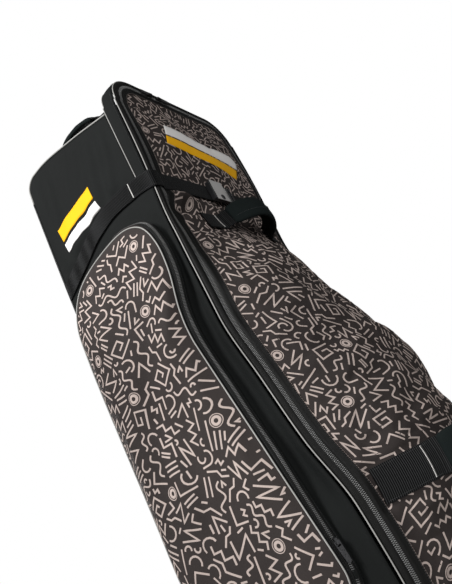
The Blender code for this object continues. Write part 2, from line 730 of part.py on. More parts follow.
def build_head_handle():
    """Grab handle on the head end, beside its left edge, running front to back."""
    x = -0.138
    low_y = -0.092
    length = 0.190
    width = 0.032

    def webbing(s):
        y = low_y + s * length
        return Vector((x, y, head_z(x, y) + 0.0020 + bump(s, 0.12, 0.88, 0.022)))

    def place(s, t):
        across = (t - 0.5) * width
        level_y = low_y + 0.5 * length if 0.2 < s < 0.8 else webbing(s).y
        rise = head_z(x + across, level_y) - head_z(x, level_y)
        return webbing(s) + Vector((across, 0.0, rise))

    def width_axis(s):
        middle_y = low_y + 0.5 * length
        return Vector((width, 0.0, head_z(x + width / 2, middle_y) - head_z(x - width / 2, middle_y))).normalized()

    def grip_line(s):
        return webbing(0.27 + s * 0.46) + Vector((0.0, 0.0, WEBBING / 2))

    def lift_axis(s):
        tangent = (grip_line(s + 0.01) - grip_line(s - 0.01)).normalized()
        return width_axis(s).cross(tangent).normalized()

    sheet("head_handle_webbing", 26, 1, place, WEBBING, WEB_BLACK)
    sleeve("head_handle_grip", grip_line, width_axis, lift_axis, width + 0.006, WEBBING + 0.008, 0.0035, 12, CLOTH_BLACK)


def build_lid():
    lid_panel()
    edge_strip("lid_zip_tape", COIL_INSET + SEAM / 2, TAPE_INSET, CLOTH_BLACK)
    seam_girth = half_girth(STRAP_Z) - COIL_INSET - SEAM

    def flat(s):
        return 0.0022

    lid_strap("lid_strap_left", -seam_girth, -0.026, STRAP_Z, STRAP_WIDTH, flat, 8)
    lid_strap("lid_strap_right", 0.018, seam_girth, STRAP_Z, STRAP_WIDTH, flat, 8)
    buckle_y = front_y(0.0, STRAP_Z) - 0.0022 - WEBBING - 0.0026
    side_release_buckle("lid_buckle", (-0.002, buckle_y, STRAP_Z), (0.0, -1.0, 0.0))
    plate_y = buckle_y - 0.010 - GAP
    box("lid_buckle_plate", (-0.042, plate_y - 0.0012, STRAP_Z - 0.024), (-0.004, plate_y, STRAP_Z + 0.024), METAL_GREY)
    carry_handle("upper", 0.918, -0.112, 0.126, HANDLE_WEB, 0.20, 0.86, 0.052)
    low_z = 0.390
    low_end = half_girth(low_z) - TAPE_INSET - 0.006
    carry_handle("lower", low_z, -low_end, low_end, CARRY_WEB, 0.24, 0.76, 0.044)


def build_sliders():
    zip_z = BODY_TOP - COIL_INSET
    for prefix, x, side in (("left", -0.072, -1), ("right", -0.046, 1)):
        point = on_front(x, zip_z)
        zip_slider(prefix + "_lid_slider", point, (side, 0, 0), (0, -1, 0))
        zip_pull(prefix + "_lid_pull", point, (side, 0, 0), (0, -1, 0))
    for prefix, side in (("left", -1), ("right", 1)):
        point, travel, outward = pocket_zip_frame(side)
        zip_slider(prefix + "_pocket_slider", point, travel, outward)
        zip_pull(prefix + "_pocket_pull", point, -travel, outward)


build_shell()
build_club_straps()
build_head_handle()
build_lid()
build_sliders()
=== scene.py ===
"""Golf travel case: the looks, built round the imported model.

Metres, +Z up towards the club heads, +X across the bag, front (the lid) towards -Y.
"""
import math

import bmesh
import bpy
import numpy as np
from mathutils import Matrix, Vector


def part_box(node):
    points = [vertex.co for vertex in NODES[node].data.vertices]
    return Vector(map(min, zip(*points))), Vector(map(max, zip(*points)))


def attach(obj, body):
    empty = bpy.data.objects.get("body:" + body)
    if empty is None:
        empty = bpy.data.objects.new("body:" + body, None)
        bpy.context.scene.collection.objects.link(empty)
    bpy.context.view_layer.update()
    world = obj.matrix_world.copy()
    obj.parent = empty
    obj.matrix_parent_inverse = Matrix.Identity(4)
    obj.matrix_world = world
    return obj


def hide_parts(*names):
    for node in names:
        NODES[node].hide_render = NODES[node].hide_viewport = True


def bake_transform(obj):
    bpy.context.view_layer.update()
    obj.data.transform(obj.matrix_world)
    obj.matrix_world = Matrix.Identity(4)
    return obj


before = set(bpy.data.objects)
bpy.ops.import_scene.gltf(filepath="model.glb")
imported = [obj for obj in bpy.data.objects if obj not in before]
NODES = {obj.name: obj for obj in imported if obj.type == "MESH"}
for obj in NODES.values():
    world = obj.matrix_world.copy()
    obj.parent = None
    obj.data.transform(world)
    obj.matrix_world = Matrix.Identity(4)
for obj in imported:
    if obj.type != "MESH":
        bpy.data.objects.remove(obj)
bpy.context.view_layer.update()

# ---------------------------------------------------------------- sizes shared with the model
BODY_TOP = 1.275
BACK_Y = 0.150
TRAY_RIM_Z = 0.0755
LID_HINGE_Z = 0.160
CORNER_RADIUS = 0.070
BELLY_POWER = 2.8
CLOTH = 0.004
WEBBING = 0.0022
SEAM = 0.0008
REST_GAP = 0.0012
COIL_INSET = 0.018
TAPE_INSET = 0.034
PIPING_NOTCH = 0.0042
HOOP_BACK_Y = -0.1105
HOOP_LOW_Z = 1.0125
STRAP_Z = 1.000
STRAP_WIDTH = 0.036
HANDLE_WEB = 0.040
CARRY_WEB = 0.050
POCKET_FOOT = 0.0034
POCKET_FRONT_RIM = 0.0185
POCKET_BACK_RIM = 0.0330
POCKET_FACE_STEP = 0.0030
POCKET_BULGE = 0.024
POCKET_FLARE = 0.012
WHEEL_RADIUS = 0.036
WHEEL_X = 0.129
WHEEL_Y = 0.132
WHEEL_Z = 0.0375

BACK_CORNER = 0.030        # rounding of the top corner towards the back
LID_CLOTH_LOW_Z = 0.148
LID_CLOTH_INSET = 0.0304   # the printed cloth runs on under the zip tape's flange
STROKE = 0.0029
PRINT_LIFT = 0.00035
LID_PRINT_SCALE = 0.84    # the print on the lid is a little smaller than on the pockets
COIL_PITCH = 0.0026
RIB_PITCH = 0.0030
STITCH_PITCH = 0.0034
MIDDLE = np.array((0.0, 0.0, 0.65))


# ---------------------------------------------------------------- profiles of the soft body
def smooth_profile(stations, values):
    """A monotone cubic curve through a few stations."""
    stations = np.array(stations)
    values = np.array(values)
    step = np.diff(stations)
    slope = np.diff(values) / step
    tangent = np.concatenate(([slope[0]], np.zeros(len(slope) - 1), [slope[-1]]))
    for i in range(1, len(slope)):
        if slope[i - 1] * slope[i] > 0:
            tangent[i] = 2 * slope[i - 1] * slope[i] / (slope[i - 1] + slope[i])

    def value(at):
        at = np.clip(at, stations[0], stations[-1])
        i = np.clip(np.searchsorted(stations, at, side="right") - 1, 0, len(step) - 1)
        t = (at - stations[i]) / step[i]
        return (
            values[i] * (1 + 2 * t) * (1 - t) ** 2
            + tangent[i] * step[i] * t * (1 - t) ** 2
            + values[i + 1] * t * t * (3 - 2 * t)
            - tangent[i + 1] * step[i] * t * t * (1 - t)
        )

    return value


half_width = smooth_profile(
    [0.05, 0.30, 0.50, 0.75, 1.00, 1.17, 1.28], [0.160, 0.180, 0.187, 0.194, 0.1955, 0.1945, 0.1895],
)
edge_y = smooth_profile(
    [0.05, 0.16, 0.26, 0.38, 0.49, 0.60, 0.72, 0.90, 1.00, 1.09, 1.28],
    [-0.165, -0.178, -0.193, -0.188, -0.163, -0.148, -0.133, -0.133, -0.139, -0.143, -0.146],
)
belly = smooth_profile(
    [0.05, 0.16, 0.25, 0.38, 0.456, 0.54, 0.63, 0.70, 0.80, 0.88, 0.95, 1.00, 1.12, 1.205, 1.28],
    [0.0, 0.0, 0.075, 0.125, 0.135, 0.137, 0.127, 0.110, 0.068, 0.032, 0.010, 0.004, 0.009, 0.0, 0.0],
)
side_top_z = smooth_profile([-0.110, 0.000, 0.100, 0.150], [1.190, 1.220, 1.238, 1.236])
head_middle_z = smooth_profile([-0.110, 0.000, 0.100, 0.150], [1.266, 1.268, 1.263, 1.252])
strap_side_z = smooth_profile([-0.150, -0.100, -0.037, 0.017, 0.085, 0.152],
    [1.002, 1.014, 1.020, 1.011, 0.982, 0.953])


def front_y(x, z):
    across = np.clip(np.abs(x) / half_width(z), 0.0, 1.0)
    return edge_y(z) - belly(z) * (1 - across ** BELLY_POWER)


def unit(vectors):
    length = np.linalg.norm(vectors, axis=-1, keepdims=True)
    return vectors / np.maximum(length, 1e-9)


def front_normal(x, z):
    across = np.clip(np.abs(x) / half_width(z), 0.0, 1.0)
    slope_x = belly(z) * BELLY_POWER * across ** (BELLY_POWER - 1) / half_width(z)
    slope_z = (front_y(x, z + 0.004) - front_y(x, z - 0.004)) / 0.008
    return unit(np.stack((np.sign(x) * slope_x, -np.ones_like(slope_x), slope_z), axis=-1))


GIRTH_ROWS = np.linspace(0.05, 1.29, 311)
GIRTH_STEPS = 49


def girth_tables():
    """Length over the fabric from the middle to the edge, and x at even shares of it."""
    x = np.linspace(0.0, 1.0, GIRTH_STEPS)[None, :] * half_width(GIRTH_ROWS)[:, None]
    y = front_y(x, np.repeat(GIRTH_ROWS[:, None], GIRTH_STEPS, axis=1))
    run = np.cumsum(np.hypot(np.diff(x, axis=1), np.diff(y, axis=1)), axis=1)
    run = np.concatenate((np.zeros((len(x), 1)), run), axis=1)
    shares = np.linspace(0.0, 1.0, GIRTH_STEPS)
    even = np.array([np.interp(shares * row[-1], row, xs) for row, xs in zip(run, x)])
    return run[:, -1], even


HALF_GIRTH_ROWS, EVEN_X = girth_tables()


def half_girth(z):
    return np.interp(z, GIRTH_ROWS, HALF_GIRTH_ROWS)


def bilinear(table, row, column):
    """Values of a table (rows, columns, ...) between its entries."""
    i = np.clip(np.floor(row).astype(int), 0, table.shape[0] - 2)
    j = np.clip(np.floor(column).astype(int), 0, table.shape[1] - 2)
    a = row - i
    b = column - j
    if table.ndim == 3:
        a = a[..., None]
        b = b[..., None]
    low = table[i, j] * (1 - b) + table[i, j + 1] * b
    high = table[i + 1, j] * (1 - b) + table[i + 1, j + 1] * b
    return low * (1 - a) + high * a


def on_front(girth, z, lift=0.0):
    """Points of the front at a distance over the fabric from the middle, lifted off it."""
    girth, z, lift = np.broadcast_arrays(np.asarray(girth, float), np.asarray(z, float), lift)
    share = np.clip(np.abs(girth) / half_girth(z), 0.0, 1.0)
    row = (z - GIRTH_ROWS[0]) / (GIRTH_ROWS[1] - GIRTH_ROWS[0])
    x = np.copysign(bilinear(EVEN_X, row, share * (GIRTH_STEPS - 1)), girth)
    return np.stack((x, front_y(x, z), z), axis=-1) + lift[..., None] * front_normal(x, z)


TOP_HALF = half_girth(BODY_TOP) - CORNER_RADIUS
CORNER_Z = BODY_TOP - CORNER_RADIUS
SIDE_RUN = CORNER_Z - LID_HINGE_Z
ARC_RUN = CORNER_RADIUS * math.pi / 2
EDGE_RUN = 2 * (SIDE_RUN + ARC_RUN + TOP_HALF)


def lid_edge(along, inset):
    """Girth and height on the lid's outline, from the left hinge end over the top to the right."""
    run = np.asarray(along, float) * EDGE_RUN
    side = np.where(run > EDGE_RUN / 2, 1.0, -1.0)
    run = np.where(run > EDGE_RUN / 2, EDGE_RUN - run, run)
    turn = np.clip((run - SIDE_RUN) / CORNER_RADIUS, 0.0, math.pi / 2)
    reach = CORNER_RADIUS - inset
    z_side = LID_HINGE_Z + run
    on_side = run < SIDE_RUN
    on_arc = run < SIDE_RUN + ARC_RUN
    girth = np.where(on_arc, TOP_HALF + reach * np.cos(turn), TOP_HALF - (run - SIDE_RUN - ARC_RUN))
    girth = np.where(on_side, half_girth(z_side) - inset, girth)
    z = np.where(on_arc, CORNER_Z + reach * np.sin(turn), BODY_TOP - inset)
    z = np.where(on_side, z_side, z)
    return side * girth, z


def head_z(x, y):
    across = np.clip(np.abs(x) / half_width(BODY_TOP), 0.0, 1.0)
    return side_top_z(y) + (head_middle_z(y) - side_top_z(y)) * (1 - across ** 3.5)


# ---------------------------------------------------------------- folds of the cloth
def rise(low, high, value):
    t = np.clip((value - low) / (high - low), 0.0, 1.0)
    return t * t * (3 - 2 * t)


def hill(value, middle, spread):
    return np.exp(-((value - middle) / spread) ** 2)


def ripple(a, b, a_waves, b_waves, seed, count=9):
    """A smooth uneven field, about -1 to 1, with up to so many waves per metre along a and b."""
    draw = np.random.default_rng(seed)
    field = 0.0
    for _ in range(count):
        along = draw.uniform(0.35, 1.0) * a_waves * 2 * math.pi
        across = draw.uniform(-1.0, 1.0) * b_waves * 2 * math.pi
        field = field + np.sin(along * a + across * b + draw.uniform(0, 2 * math.pi))
    return field / math.sqrt(count) * 0.8


def lid_fold(girth, z):
    """How far the lid's cloth stands off its smooth shape."""
    edge = np.abs(girth) / half_girth(z)
    inside = 1 - rise(0.86, 0.97, edge)
    full = rise(0.17, 0.30, z) * (1 - rise(0.80, 0.90, z))
    fold = 0.0058 * full * inside * ripple(girth, z, 4.5, 4.5, 11)
    fold = fold + 0.0034 * full * inside * ripple(girth + 0.45 * z, z, 13.0, 4.0, 12)
    gathers = hill(z, 0.935, 0.050) * (z < STRAP_Z) * (1 - rise(0.955, 0.982, z))
    fold = fold + 0.0058 * gathers * inside * ripple(girth, z, 22.0, 3.0, 13)
    fold = fold - 0.0020 * hill(z, 0.935, 0.030) * inside
    left = hill(girth, -0.134, 0.030) * inside
    fold = fold + left * (0.0150 * hill(z, 0.971, 0.011) - 0.0135 * hill(z, 0.946, 0.013))
    fold = fold + left * (0.0070 * hill(z, 0.922, 0.013) - 0.0050 * hill(z, 0.895, 0.018))
    for reach, lean, size in ((-0.105, 0.55, 0.0050), (-0.030, 0.25, 0.0046), (0.060, -0.25, 0.0050)):
        crease = girth - reach + lean * (z - 0.87)
        fall = rise(0.50, 0.72, z) * (1 - rise(0.84, 0.90, z)) * inside
        fold = fold + size * fall * (hill(crease, 0.0, 0.016) - 0.7 * hill(crease, 0.028, 0.018))
    head = rise(1.02, 1.06, z) * (1 - rise(1.20, 1.25, z))
    fold = fold + 0.0020 * head * inside * ripple(girth, z, 7.0, 6.0, 14)
    fold = fold - 0.0014 * hill(z, STRAP_Z, 0.020) * inside
    low_edge = rise(0.80, 0.93, edge) * rise(0.17, 0.26, z) * (1 - rise(0.88, 0.96, z))
    fold = fold + 0.0013 * low_edge * ripple(np.sign(girth) * 0.11, z, 1.0, 9.0, 15)
    under = (1 - rise(0.022, 0.032, np.abs(z - 0.918))) * (1 - rise(0.125, 0.140, np.abs(girth - 0.007)))
    under = np.maximum(
        under, (1 - rise(0.026, 0.038, np.abs(z - 0.390))) * (1 - rise(0.195, 0.215, np.abs(girth))))
    return np.where(fold > 0, fold * (1 - under), fold)


def lid_surface(girth, z, lift=0.0):
    return on_front(girth, z, lift + lid_fold(girth, z))


POCKET_OUTLINE = np.array([
    (-0.1349, 0.340), (-0.1218, 0.433), (-0.1081, 0.531), (-0.0972, 0.609),
    (-0.0845, 0.700), (-0.0860, 0.760), (-0.1010, 0.830), (-0.1020, 0.888),
    (-0.0840, 0.932), (-0.0380, 0.951), (0.0330, 0.938), (0.0920, 0.908), (0.1240, 0.860),
    (0.1300, 0.790), (0.1300, 0.650), (0.1300, 0.500), (0.1300, 0.380), (0.1180, 0.300),
    (0.0800, 0.258), (0.0, 0.245), (-0.0800, 0.250), (-0.1220, 0.275), (-0.1360, 0.305),
])
POCKET_CENTRE = np.array((0.005, 0.60))


def pocket_outline(turn):
    """Closed outline (y, z) through its corner points, straight along the zip's lower front."""
    count = len(POCKET_OUTLINE)
    at = np.mod(np.asarray(turn, float), 1.0) * count
    i = np.minimum(np.floor(at).astype(int), count - 1)
    t = (at - i)[..., None]
    p0, p1, p2, p3 = (POCKET_OUTLINE[(i + k) % count] for k in (-1, 0, 1, 2))
    curved = 0.5 * (
        2 * p1 + (p2 - p0) * t + (2 * p0 - 5 * p1 + 4 * p2 - p3) * t ** 2
        + (3 * p1 - p0 - 3 * p2 + p3) * t ** 3
    )
    return np.where((i < 4)[..., None], p1 + t * (p2 - p1), curved)


def pocket_rim(y):
    """The gusset is taller towards the back of the bag."""
    return POCKET_FRONT_RIM + (POCKET_BACK_RIM - POCKET_FRONT_RIM) * rise(-0.05, 0.10, y)


def pocket_point(side, turn, outset, off):
    """Point on the pocket: outset is measured outwards from its outline, off from the side panel."""
    here = pocket_outline(turn)
    ahead = pocket_outline(np.asarray(turn) + 0.002) - pocket_outline(np.asarray(turn) - 0.002)
    across = unit(np.stack((ahead[..., 1], -ahead[..., 0]), axis=-1))
    place = here - across * np.asarray(outset)[..., None]
    y, z = place[..., 0], place[..., 1]
    return np.stack((side * (half_width(z) + off), y, z), axis=-1)


def pocket_reach_table():
    spots = pocket_outline(np.linspace(0.0, 1.0, 1441)[:-1]) - POCKET_CENTRE
    angle = np.arctan2(spots[:, 1], spots[:, 0])
    order = np.argsort(angle)
    angle = angle[order]
    radius = np.hypot(spots[:, 0], spots[:, 1])[order]
    return (
        np.concatenate((angle - 2 * math.pi, angle, angle + 2 * math.pi)),
        np.concatenate((radius, radius, radius)),
    )


REACH_ANGLE, REACH_RADIUS = pocket_reach_table()


def pocket_reach(y, z):
    """0 in the middle of the pocket's face, 1 on its outline."""
    dy, dz = y - POCKET_CENTRE[0], z - POCKET_CENTRE[1]
    return np.hypot(dy, dz) / np.interp(np.arctan2(dz, dy), REACH_ANGLE, REACH_RADIUS)


def pocket_face_off(y, z, seed):
    reach = np.clip(pocket_reach(y, z), 0.0, 1.03)
    rim_y = POCKET_CENTRE[0] + (y - POCKET_CENTRE[0]) / np.maximum(reach, 0.05)
    off = pocket_rim(rim_y) * reach + pocket_rim(y) * (1 - reach)
    off = off + POCKET_FACE_STEP + POCKET_BULGE * (1 - reach ** 4)
    loose = 1 - rise(0.72, 0.98, reach)
    off = off + 0.0048 * loose * ripple(y, z, 8.0, 2.5, seed)
    off = off + 0.0026 * loose * ripple(y + 0.25 * z, z, 19.0, 5.0, seed + 1)
    ridge = y - 0.035 - 0.06 * (z - 0.55)
    tall = rise(0.32, 0.45, z) * (1 - rise(0.70, 0.84, z))
    off = off + 0.0050 * loose * tall * (hill(ridge, 0.0, 0.016) - 0.6 * hill(ridge, 0.030, 0.018))
    return off + 0.0045 * hill(y, 0.105, 0.030) * hill(z, 0.42, 0.10) * (1 - rise(0.93, 1.0, reach))


def pocket_surface(side, y, z, seed, lift=0.0):
    off = pocket_face_off(y, z, seed) + lift
    return np.stack((side * (half_width(z) + off), y, z), axis=-1)


def side_top(y):
    """Top edge of the side, rounded down to the back edge."""
    start = BACK_Y - BACK_CORNER
    turn = np.sqrt(np.maximum(BACK_CORNER ** 2 - np.maximum(y - start, 0.0) ** 2, 0.0))
    return np.where(y > start, side_top_z(start) - BACK_CORNER + turn, side_top_z(y))


def side_fold(side, y, z):
    """How far the black side stands off its smooth shape."""
    reach = pocket_reach(y, z)
    free = rise(1.06, 1.22, reach)
    edge = rise(0.0, 0.035, BACK_Y - y) * rise(0.0, 0.030, side_top_z(y) - z)
    edge = edge * rise(0.0, 0.025, y + 0.105) * rise(TRAY_RIM_Z, TRAY_RIM_Z + 0.05, z)
    strap = strap_side_z(y)
    fold = 0.0040 * ripple(y, z, 9.0, 2.5, 21 + int(side))
    fold = fold + 0.0018 * ripple(y + 0.2 * z, z, 26.0, 4.0, 31 + int(side))
    fold = fold + 0.0030 * hill(z, strap - 0.045, 0.020) + 0.0022 * hill(z, strap + 0.050, 0.028)
    fold = fold + 0.0016 * hill(z, strap + 0.034, 0.030) * ripple(y, z, 30.0, 3.0, 41)
    fold = fold * free * edge
    ahead = (rise(-0.010, 0.020, -y - 0.045) * rise(1.02, 1.10, reach)
             * rise(0.002, 0.022, y - edge_y(z) - CLOTH))
    fold = fold - 0.0080 * ahead * rise(0.35, 0.45, z) * (1 - rise(0.90, 0.96, z))
    under = 1 - rise(0.019, 0.030, np.abs(z - strap))
    return fold * (1 - under) - 0.0012 * under * edge


# ---------------------------------------------------------------- materials
def set_inputs(node, **values):
    for name, value in values.items():
        node.inputs[name.replace("_", " ")].default_value = value


class Finish:
    """A procedural material being put together."""

    def __init__(self, name, roughness=0.8, metallic=0.0, **shader_values):
        self.material = bpy.data.materials.new(name)
        self.material.use_nodes = True
        tree = self.material.node_tree
        self.nodes = tree.nodes
        self.links = tree.links
        self.shader = self.nodes["Principled BSDF"]
        set_inputs(self.shader, Roughness=roughness, Metallic=metallic, **shader_values)
        self.places = self.nodes.new("ShaderNodeTexCoord")

    def join(self, output, node, socket):
        self.links.new(output, node.inputs[socket])

    def noise(self, scale, detail=3.0, place="Object", stretch=None):
        node = self.nodes.new("ShaderNodeTexNoise")
        set_inputs(node, Scale=scale, Detail=detail)
        source = self.places.outputs[place]
        if stretch:
            mapping = self.nodes.new("ShaderNodeMapping")
            mapping.inputs["Scale"].default_value = stretch
            self.join(source, mapping, "Vector")
            source = mapping.outputs["Vector"]
        self.join(source, node, "Vector")
        return node.outputs["Fac"]

    def bands(self, direction, pitch, place="UV", wobble=0.0):
        node = self.nodes.new("ShaderNodeTexWave")
        node.wave_type = "BANDS"
        node.bands_direction = direction
        set_inputs(node, Scale=2 * math.pi / 20 / pitch, Distortion=wobble, Detail=1.0)
        self.join(self.places.outputs[place], node, "Vector")
        return node.outputs["Fac"]

    def maths(self, operation, a, b):
        node = self.nodes.new("ShaderNodeMath")
        node.operation = operation
        for socket, value in enumerate((a, b)):
            if isinstance(value, (int, float)):
                node.inputs[socket].default_value = value
            else:
                self.links.new(value, node.inputs[socket])
        return node.outputs[0]

    def spread(self, value, low, high, from_low=0.3, from_high=0.7):
        node = self.nodes.new("ShaderNodeMapRange")
        set_inputs(node, From_Min=from_low, From_Max=from_high, To_Min=low, To_Max=high)
        self.join(value, node, "Value")
        return node.outputs[0]

    def colours(self, value, *stops):
        node = self.nodes.new("ShaderNodeValToRGB")
        ramp = node.color_ramp
        while len(ramp.elements) < len(stops):
            ramp.elements.new(0.5)
        for element, (position, colour) in zip(ramp.elements, stops):
            element.position = position
            element.color = (*colour, 1.0)
        self.join(value, node, "Fac")
        return node.outputs["Color"]

    def paint(self, colour):
        self.join(colour, self.shader, "Base Color")

    def gloss(self, value):
        self.join(value, self.shader, "Roughness")

    def relief(self, height, depth, strength=1.0):
        node = self.nodes.new("ShaderNodeBump")
        set_inputs(node, Distance=depth, Strength=strength)
        self.join(height, node, "Height")
        self.join(node.outputs["Normal"], self.shader, "Normal")


def scaled(colour, factor):
    return tuple(channel * factor for channel in colour)


def woven(name, colour, pitch=0.0007, depth=0.00020, roughness=0.82, sheen=0.0, contrast=0.30, slub=0.35,
        shine=0.04):
    """Plain woven cloth: threads both ways from the piece's UV map in metres."""
    finish = Finish(name, roughness, Sheen_Weight=sheen, Sheen_Roughness=0.5, Specular_IOR_Level=shine)
    threads = finish.maths("MULTIPLY", finish.bands("X", pitch), finish.bands("Y", pitch))
    cloud = finish.noise(7.0, 4.0)
    fibre = finish.noise(900.0, 2.0)
    worn = finish.maths("ADD", finish.maths("MULTIPLY", cloud, 0.55), finish.maths("MULTIPLY", fibre, 0.30))
    worn = finish.maths("ADD", worn, finish.maths("MULTIPLY", threads, 0.15))
    finish.paint(finish.colours(
        worn, (0.30, scaled(colour, 1 - contrast)), (0.50, colour),
        (0.72, scaled(colour, 1 + contrast * 1.2)),
    ))
    finish.gloss(finish.spread(cloud, roughness - 0.06, roughness + 0.06))
    uneven = finish.noise(160.0, 2.0)
    height = finish.maths("ADD", threads, finish.maths("MULTIPLY", uneven, slub))
    finish.relief(height, depth)
    return finish.material


def ribbed(name, colour, pitch=0.0016, depth=0.0003):
    """Webbing: fine yarns along the ribs, which are in the mesh; painted highlight on the rib crests and
    painted shade in the valleys between them.
    """
    finish = Finish(name, 0.55, Specular_IOR_Level=0.07)
    yarn = finish.bands("X", pitch / 2, wobble=0.6)
    # painted highlight and shade: bands at the rib pitch make the crests up to eight times paler than the
    # webbing's colour and the valleys darker
    rib = finish.bands("Y", RIB_PITCH)
    cloud = finish.noise(14.0, 3.0)
    fibre = finish.noise(1200.0, 2.0)
    mixed = finish.maths("ADD", finish.maths("MULTIPLY", rib, 0.75), finish.maths("MULTIPLY", fibre, 0.25))
    finish.paint(finish.colours(mixed, (0.20, scaled(colour, 0.2)), (0.55, scaled(colour, 0.9)),
        (0.88, scaled(colour, 8.0))))
    finish.gloss(finish.spread(cloud, 0.48, 0.62))
    finish.relief(finish.maths("ADD", yarn, fibre), depth)
    return finish.material


def moulded(name, colour, roughness=0.45, depth=0.00012, grain=1100.0, scuff=0.10):
    """Moulded plastic with a fine grain, paler where it is scuffed."""
    finish = Finish(name, roughness, Specular_IOR_Level=0.45)
    fine = finish.noise(grain, 3.0)
    cloud = finish.noise(18.0, 5.0)
    geometry = finish.nodes.new("ShaderNodeNewGeometry")
    edges = finish.spread(geometry.outputs["Pointiness"], 0.0, 1.0, 0.505, 0.56)
    wear = finish.maths("MULTIPLY", edges, cloud)
    tone = finish.maths("ADD", finish.maths("MULTIPLY", cloud, 0.6),
        finish.maths("MULTIPLY", wear, scuff * 4))
    finish.paint(finish.colours(
        tone, (0.22, scaled(colour, 0.8)), (0.42, colour), (0.80, scaled(colour, 2.6)),
    ))
    finish.gloss(finish.spread(cloud, roughness - 0.08, roughness + 0.12))
    finish.relief(fine, depth)
    return finish.material


def brushed(name, colour, roughness=0.34, stretch=(900.0, 60.0, 900.0)):
    """Satin metal with fine brush lines and a few dull patches."""
    finish = Finish(name, roughness, metallic=1.0)
    lines = finish.noise(1.0, 4.0, stretch=stretch)
    cloud = finish.noise(40.0, 3.0)
    finish.paint(finish.colours(cloud, (0.30, scaled(colour, 0.78)), (0.60, colour),
        (0.85, scaled(colour, 1.12))))
    finish.gloss(finish.spread(lines, roughness - 0.08, roughness + 0.12))
    finish.relief(lines, 0.00006)
    return finish.material


def foam_cloth(name, colour):
    """Brushed lining cloth over foam."""
    finish = Finish(name, 0.92, Sheen_Weight=0.25, Sheen_Roughness=0.6)
    nap = finish.noise(700.0, 4.0)
    cloud = finish.noise(16.0, 3.0)
    mixed = finish.maths("ADD", finish.maths("MULTIPLY", nap, 0.5), finish.maths("MULTIPLY", cloud, 0.5))
    finish.paint(finish.colours(mixed, (0.30, scaled(colour, 0.7)), (0.55, colour),
        (0.80, scaled(colour, 1.3))))
    finish.gloss(finish.spread(cloud, 0.86, 0.96))
    finish.relief(nap, 0.0004)
    return finish.material


def floor_finish(name):
    finish = Finish(name, 0.75)
    cloud = finish.noise(1.5, 3.0)
    finish.paint(finish.colours(cloud, (0.3, (0.52, 0.52, 0.52)), (0.7, (0.56, 0.56, 0.56))))
    finish.relief(finish.noise(220.0, 2.0), 0.0001)
    set_inputs(finish.shader, Emission_Color=(1.0, 1.0, 1.0, 1.0), Emission_Strength=0.42)
    return finish.material


BLACK = woven("black_polyester", (0.0095, 0.0104, 0.0102), roughness=0.66, depth=0.00014, shine=0.05)
GROUND = woven("printed_ground", (0.0370, 0.0310, 0.0295), roughness=0.62, depth=0.00014)
STROKES = woven("print_strokes", (0.450, 0.372, 0.338), roughness=0.66, contrast=0.25, depth=0.00012)
LINING = woven("lining_grey", (0.060, 0.062, 0.068), pitch=0.0012, contrast=0.2)
TAPE = woven("zip_tape_satin", (0.0065, 0.0065, 0.0062), pitch=0.0009, roughness=0.42, depth=0.00012,
    shine=0.08)
# zip coil: colour partly the dark nylon's own, partly painted highlight that makes the teeth read as a
# dotted pale line
COIL = moulded("coil_nylon_with_painted_highlight", (0.13, 0.13, 0.128), roughness=0.25)
PIPING = woven("piping_grey", (0.34, 0.335, 0.320), pitch=0.0011, roughness=0.55, contrast=0.25,
    depth=0.00012)
BLACK_PIPING = woven("piping_black", (0.014, 0.015, 0.015), pitch=0.0011, roughness=0.5, shine=0.3)
WEB = ribbed("webbing_black", (0.0048, 0.0049, 0.0050))
GRIP = woven("grip_black", (0.0105, 0.0140, 0.0138), pitch=0.0011, roughness=0.80, depth=0.0003)
THREAD = woven("thread_black", (0.022, 0.022, 0.023), pitch=0.0009, roughness=0.5, shine=0.4)
PALE_THREAD = woven("thread_pale", (0.24, 0.20, 0.18), pitch=0.0009, roughness=0.6)
WHITE_THREAD = woven("thread_white", (0.70, 0.69, 0.66), pitch=0.0009, roughness=0.6, contrast=0.15)
WHITE_INK = woven("mark_white", (0.80, 0.78, 0.76), roughness=0.55, contrast=0.08, depth=0.00008)
AMBER_INK = woven("mark_amber", (0.86, 0.44, 0.012), roughness=0.5, contrast=0.12, depth=0.00008)
FOAM = foam_cloth("head_pad_cloth", (0.115, 0.115, 0.125))
BOARD = moulded("base_board_fibre", (0.075, 0.075, 0.082), roughness=0.7, grain=500.0)
TRAY = moulded("tray_polymer", (0.0130, 0.0130, 0.0140), roughness=0.5, depth=0.00025, grain=700.0)
BUCKLE = moulded("buckle_acetal", (0.0110, 0.0110, 0.0118), roughness=0.30)
HUB = moulded("hub_nylon", (0.085, 0.085, 0.090), roughness=0.45)
TYRE = moulded("tyre_rubber", (0.016, 0.016, 0.016), roughness=0.78, depth=0.0003, grain=600.0)
PLATE = moulded("plate_satin", (0.44, 0.43, 0.42), roughness=0.38, scuff=0.02)
STEEL = brushed("satin_steel", (0.42, 0.41, 0.40))
GUNMETAL = brushed("slider_gunmetal", (0.085, 0.085, 0.088), roughness=0.30)


# ---------------------------------------------------------------- mesh building
def make_piece(name, points, faces, materials, body, uv=None, face_material=None, smooth=True):
    mesh = bpy.data.meshes.new(name)
    mesh.from_pydata(np.asarray(points, float).reshape(-1, 3).tolist(), [], faces)
    if uv is not None:
        layer = mesh.uv_layers.new(name="metres")
        corners = np.zeros(len(mesh.loops), int)
        mesh.loops.foreach_get("vertex_index", corners)
        layer.data.foreach_set("uv", np.asarray(uv, np.float32).reshape(-1, 2)[corners].ravel())
    for material in materials:
        mesh.materials.append(material)
    if face_material is not None:
        mesh.polygons.foreach_set("material_index", np.asarray(face_material, np.int32))
    if smooth:
        mesh.shade_smooth()
    mesh.validate()
    piece = bpy.data.objects.new(name, mesh)
    bpy.context.scene.collection.objects.link(piece)
    if body:
        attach(piece, body)
    return piece


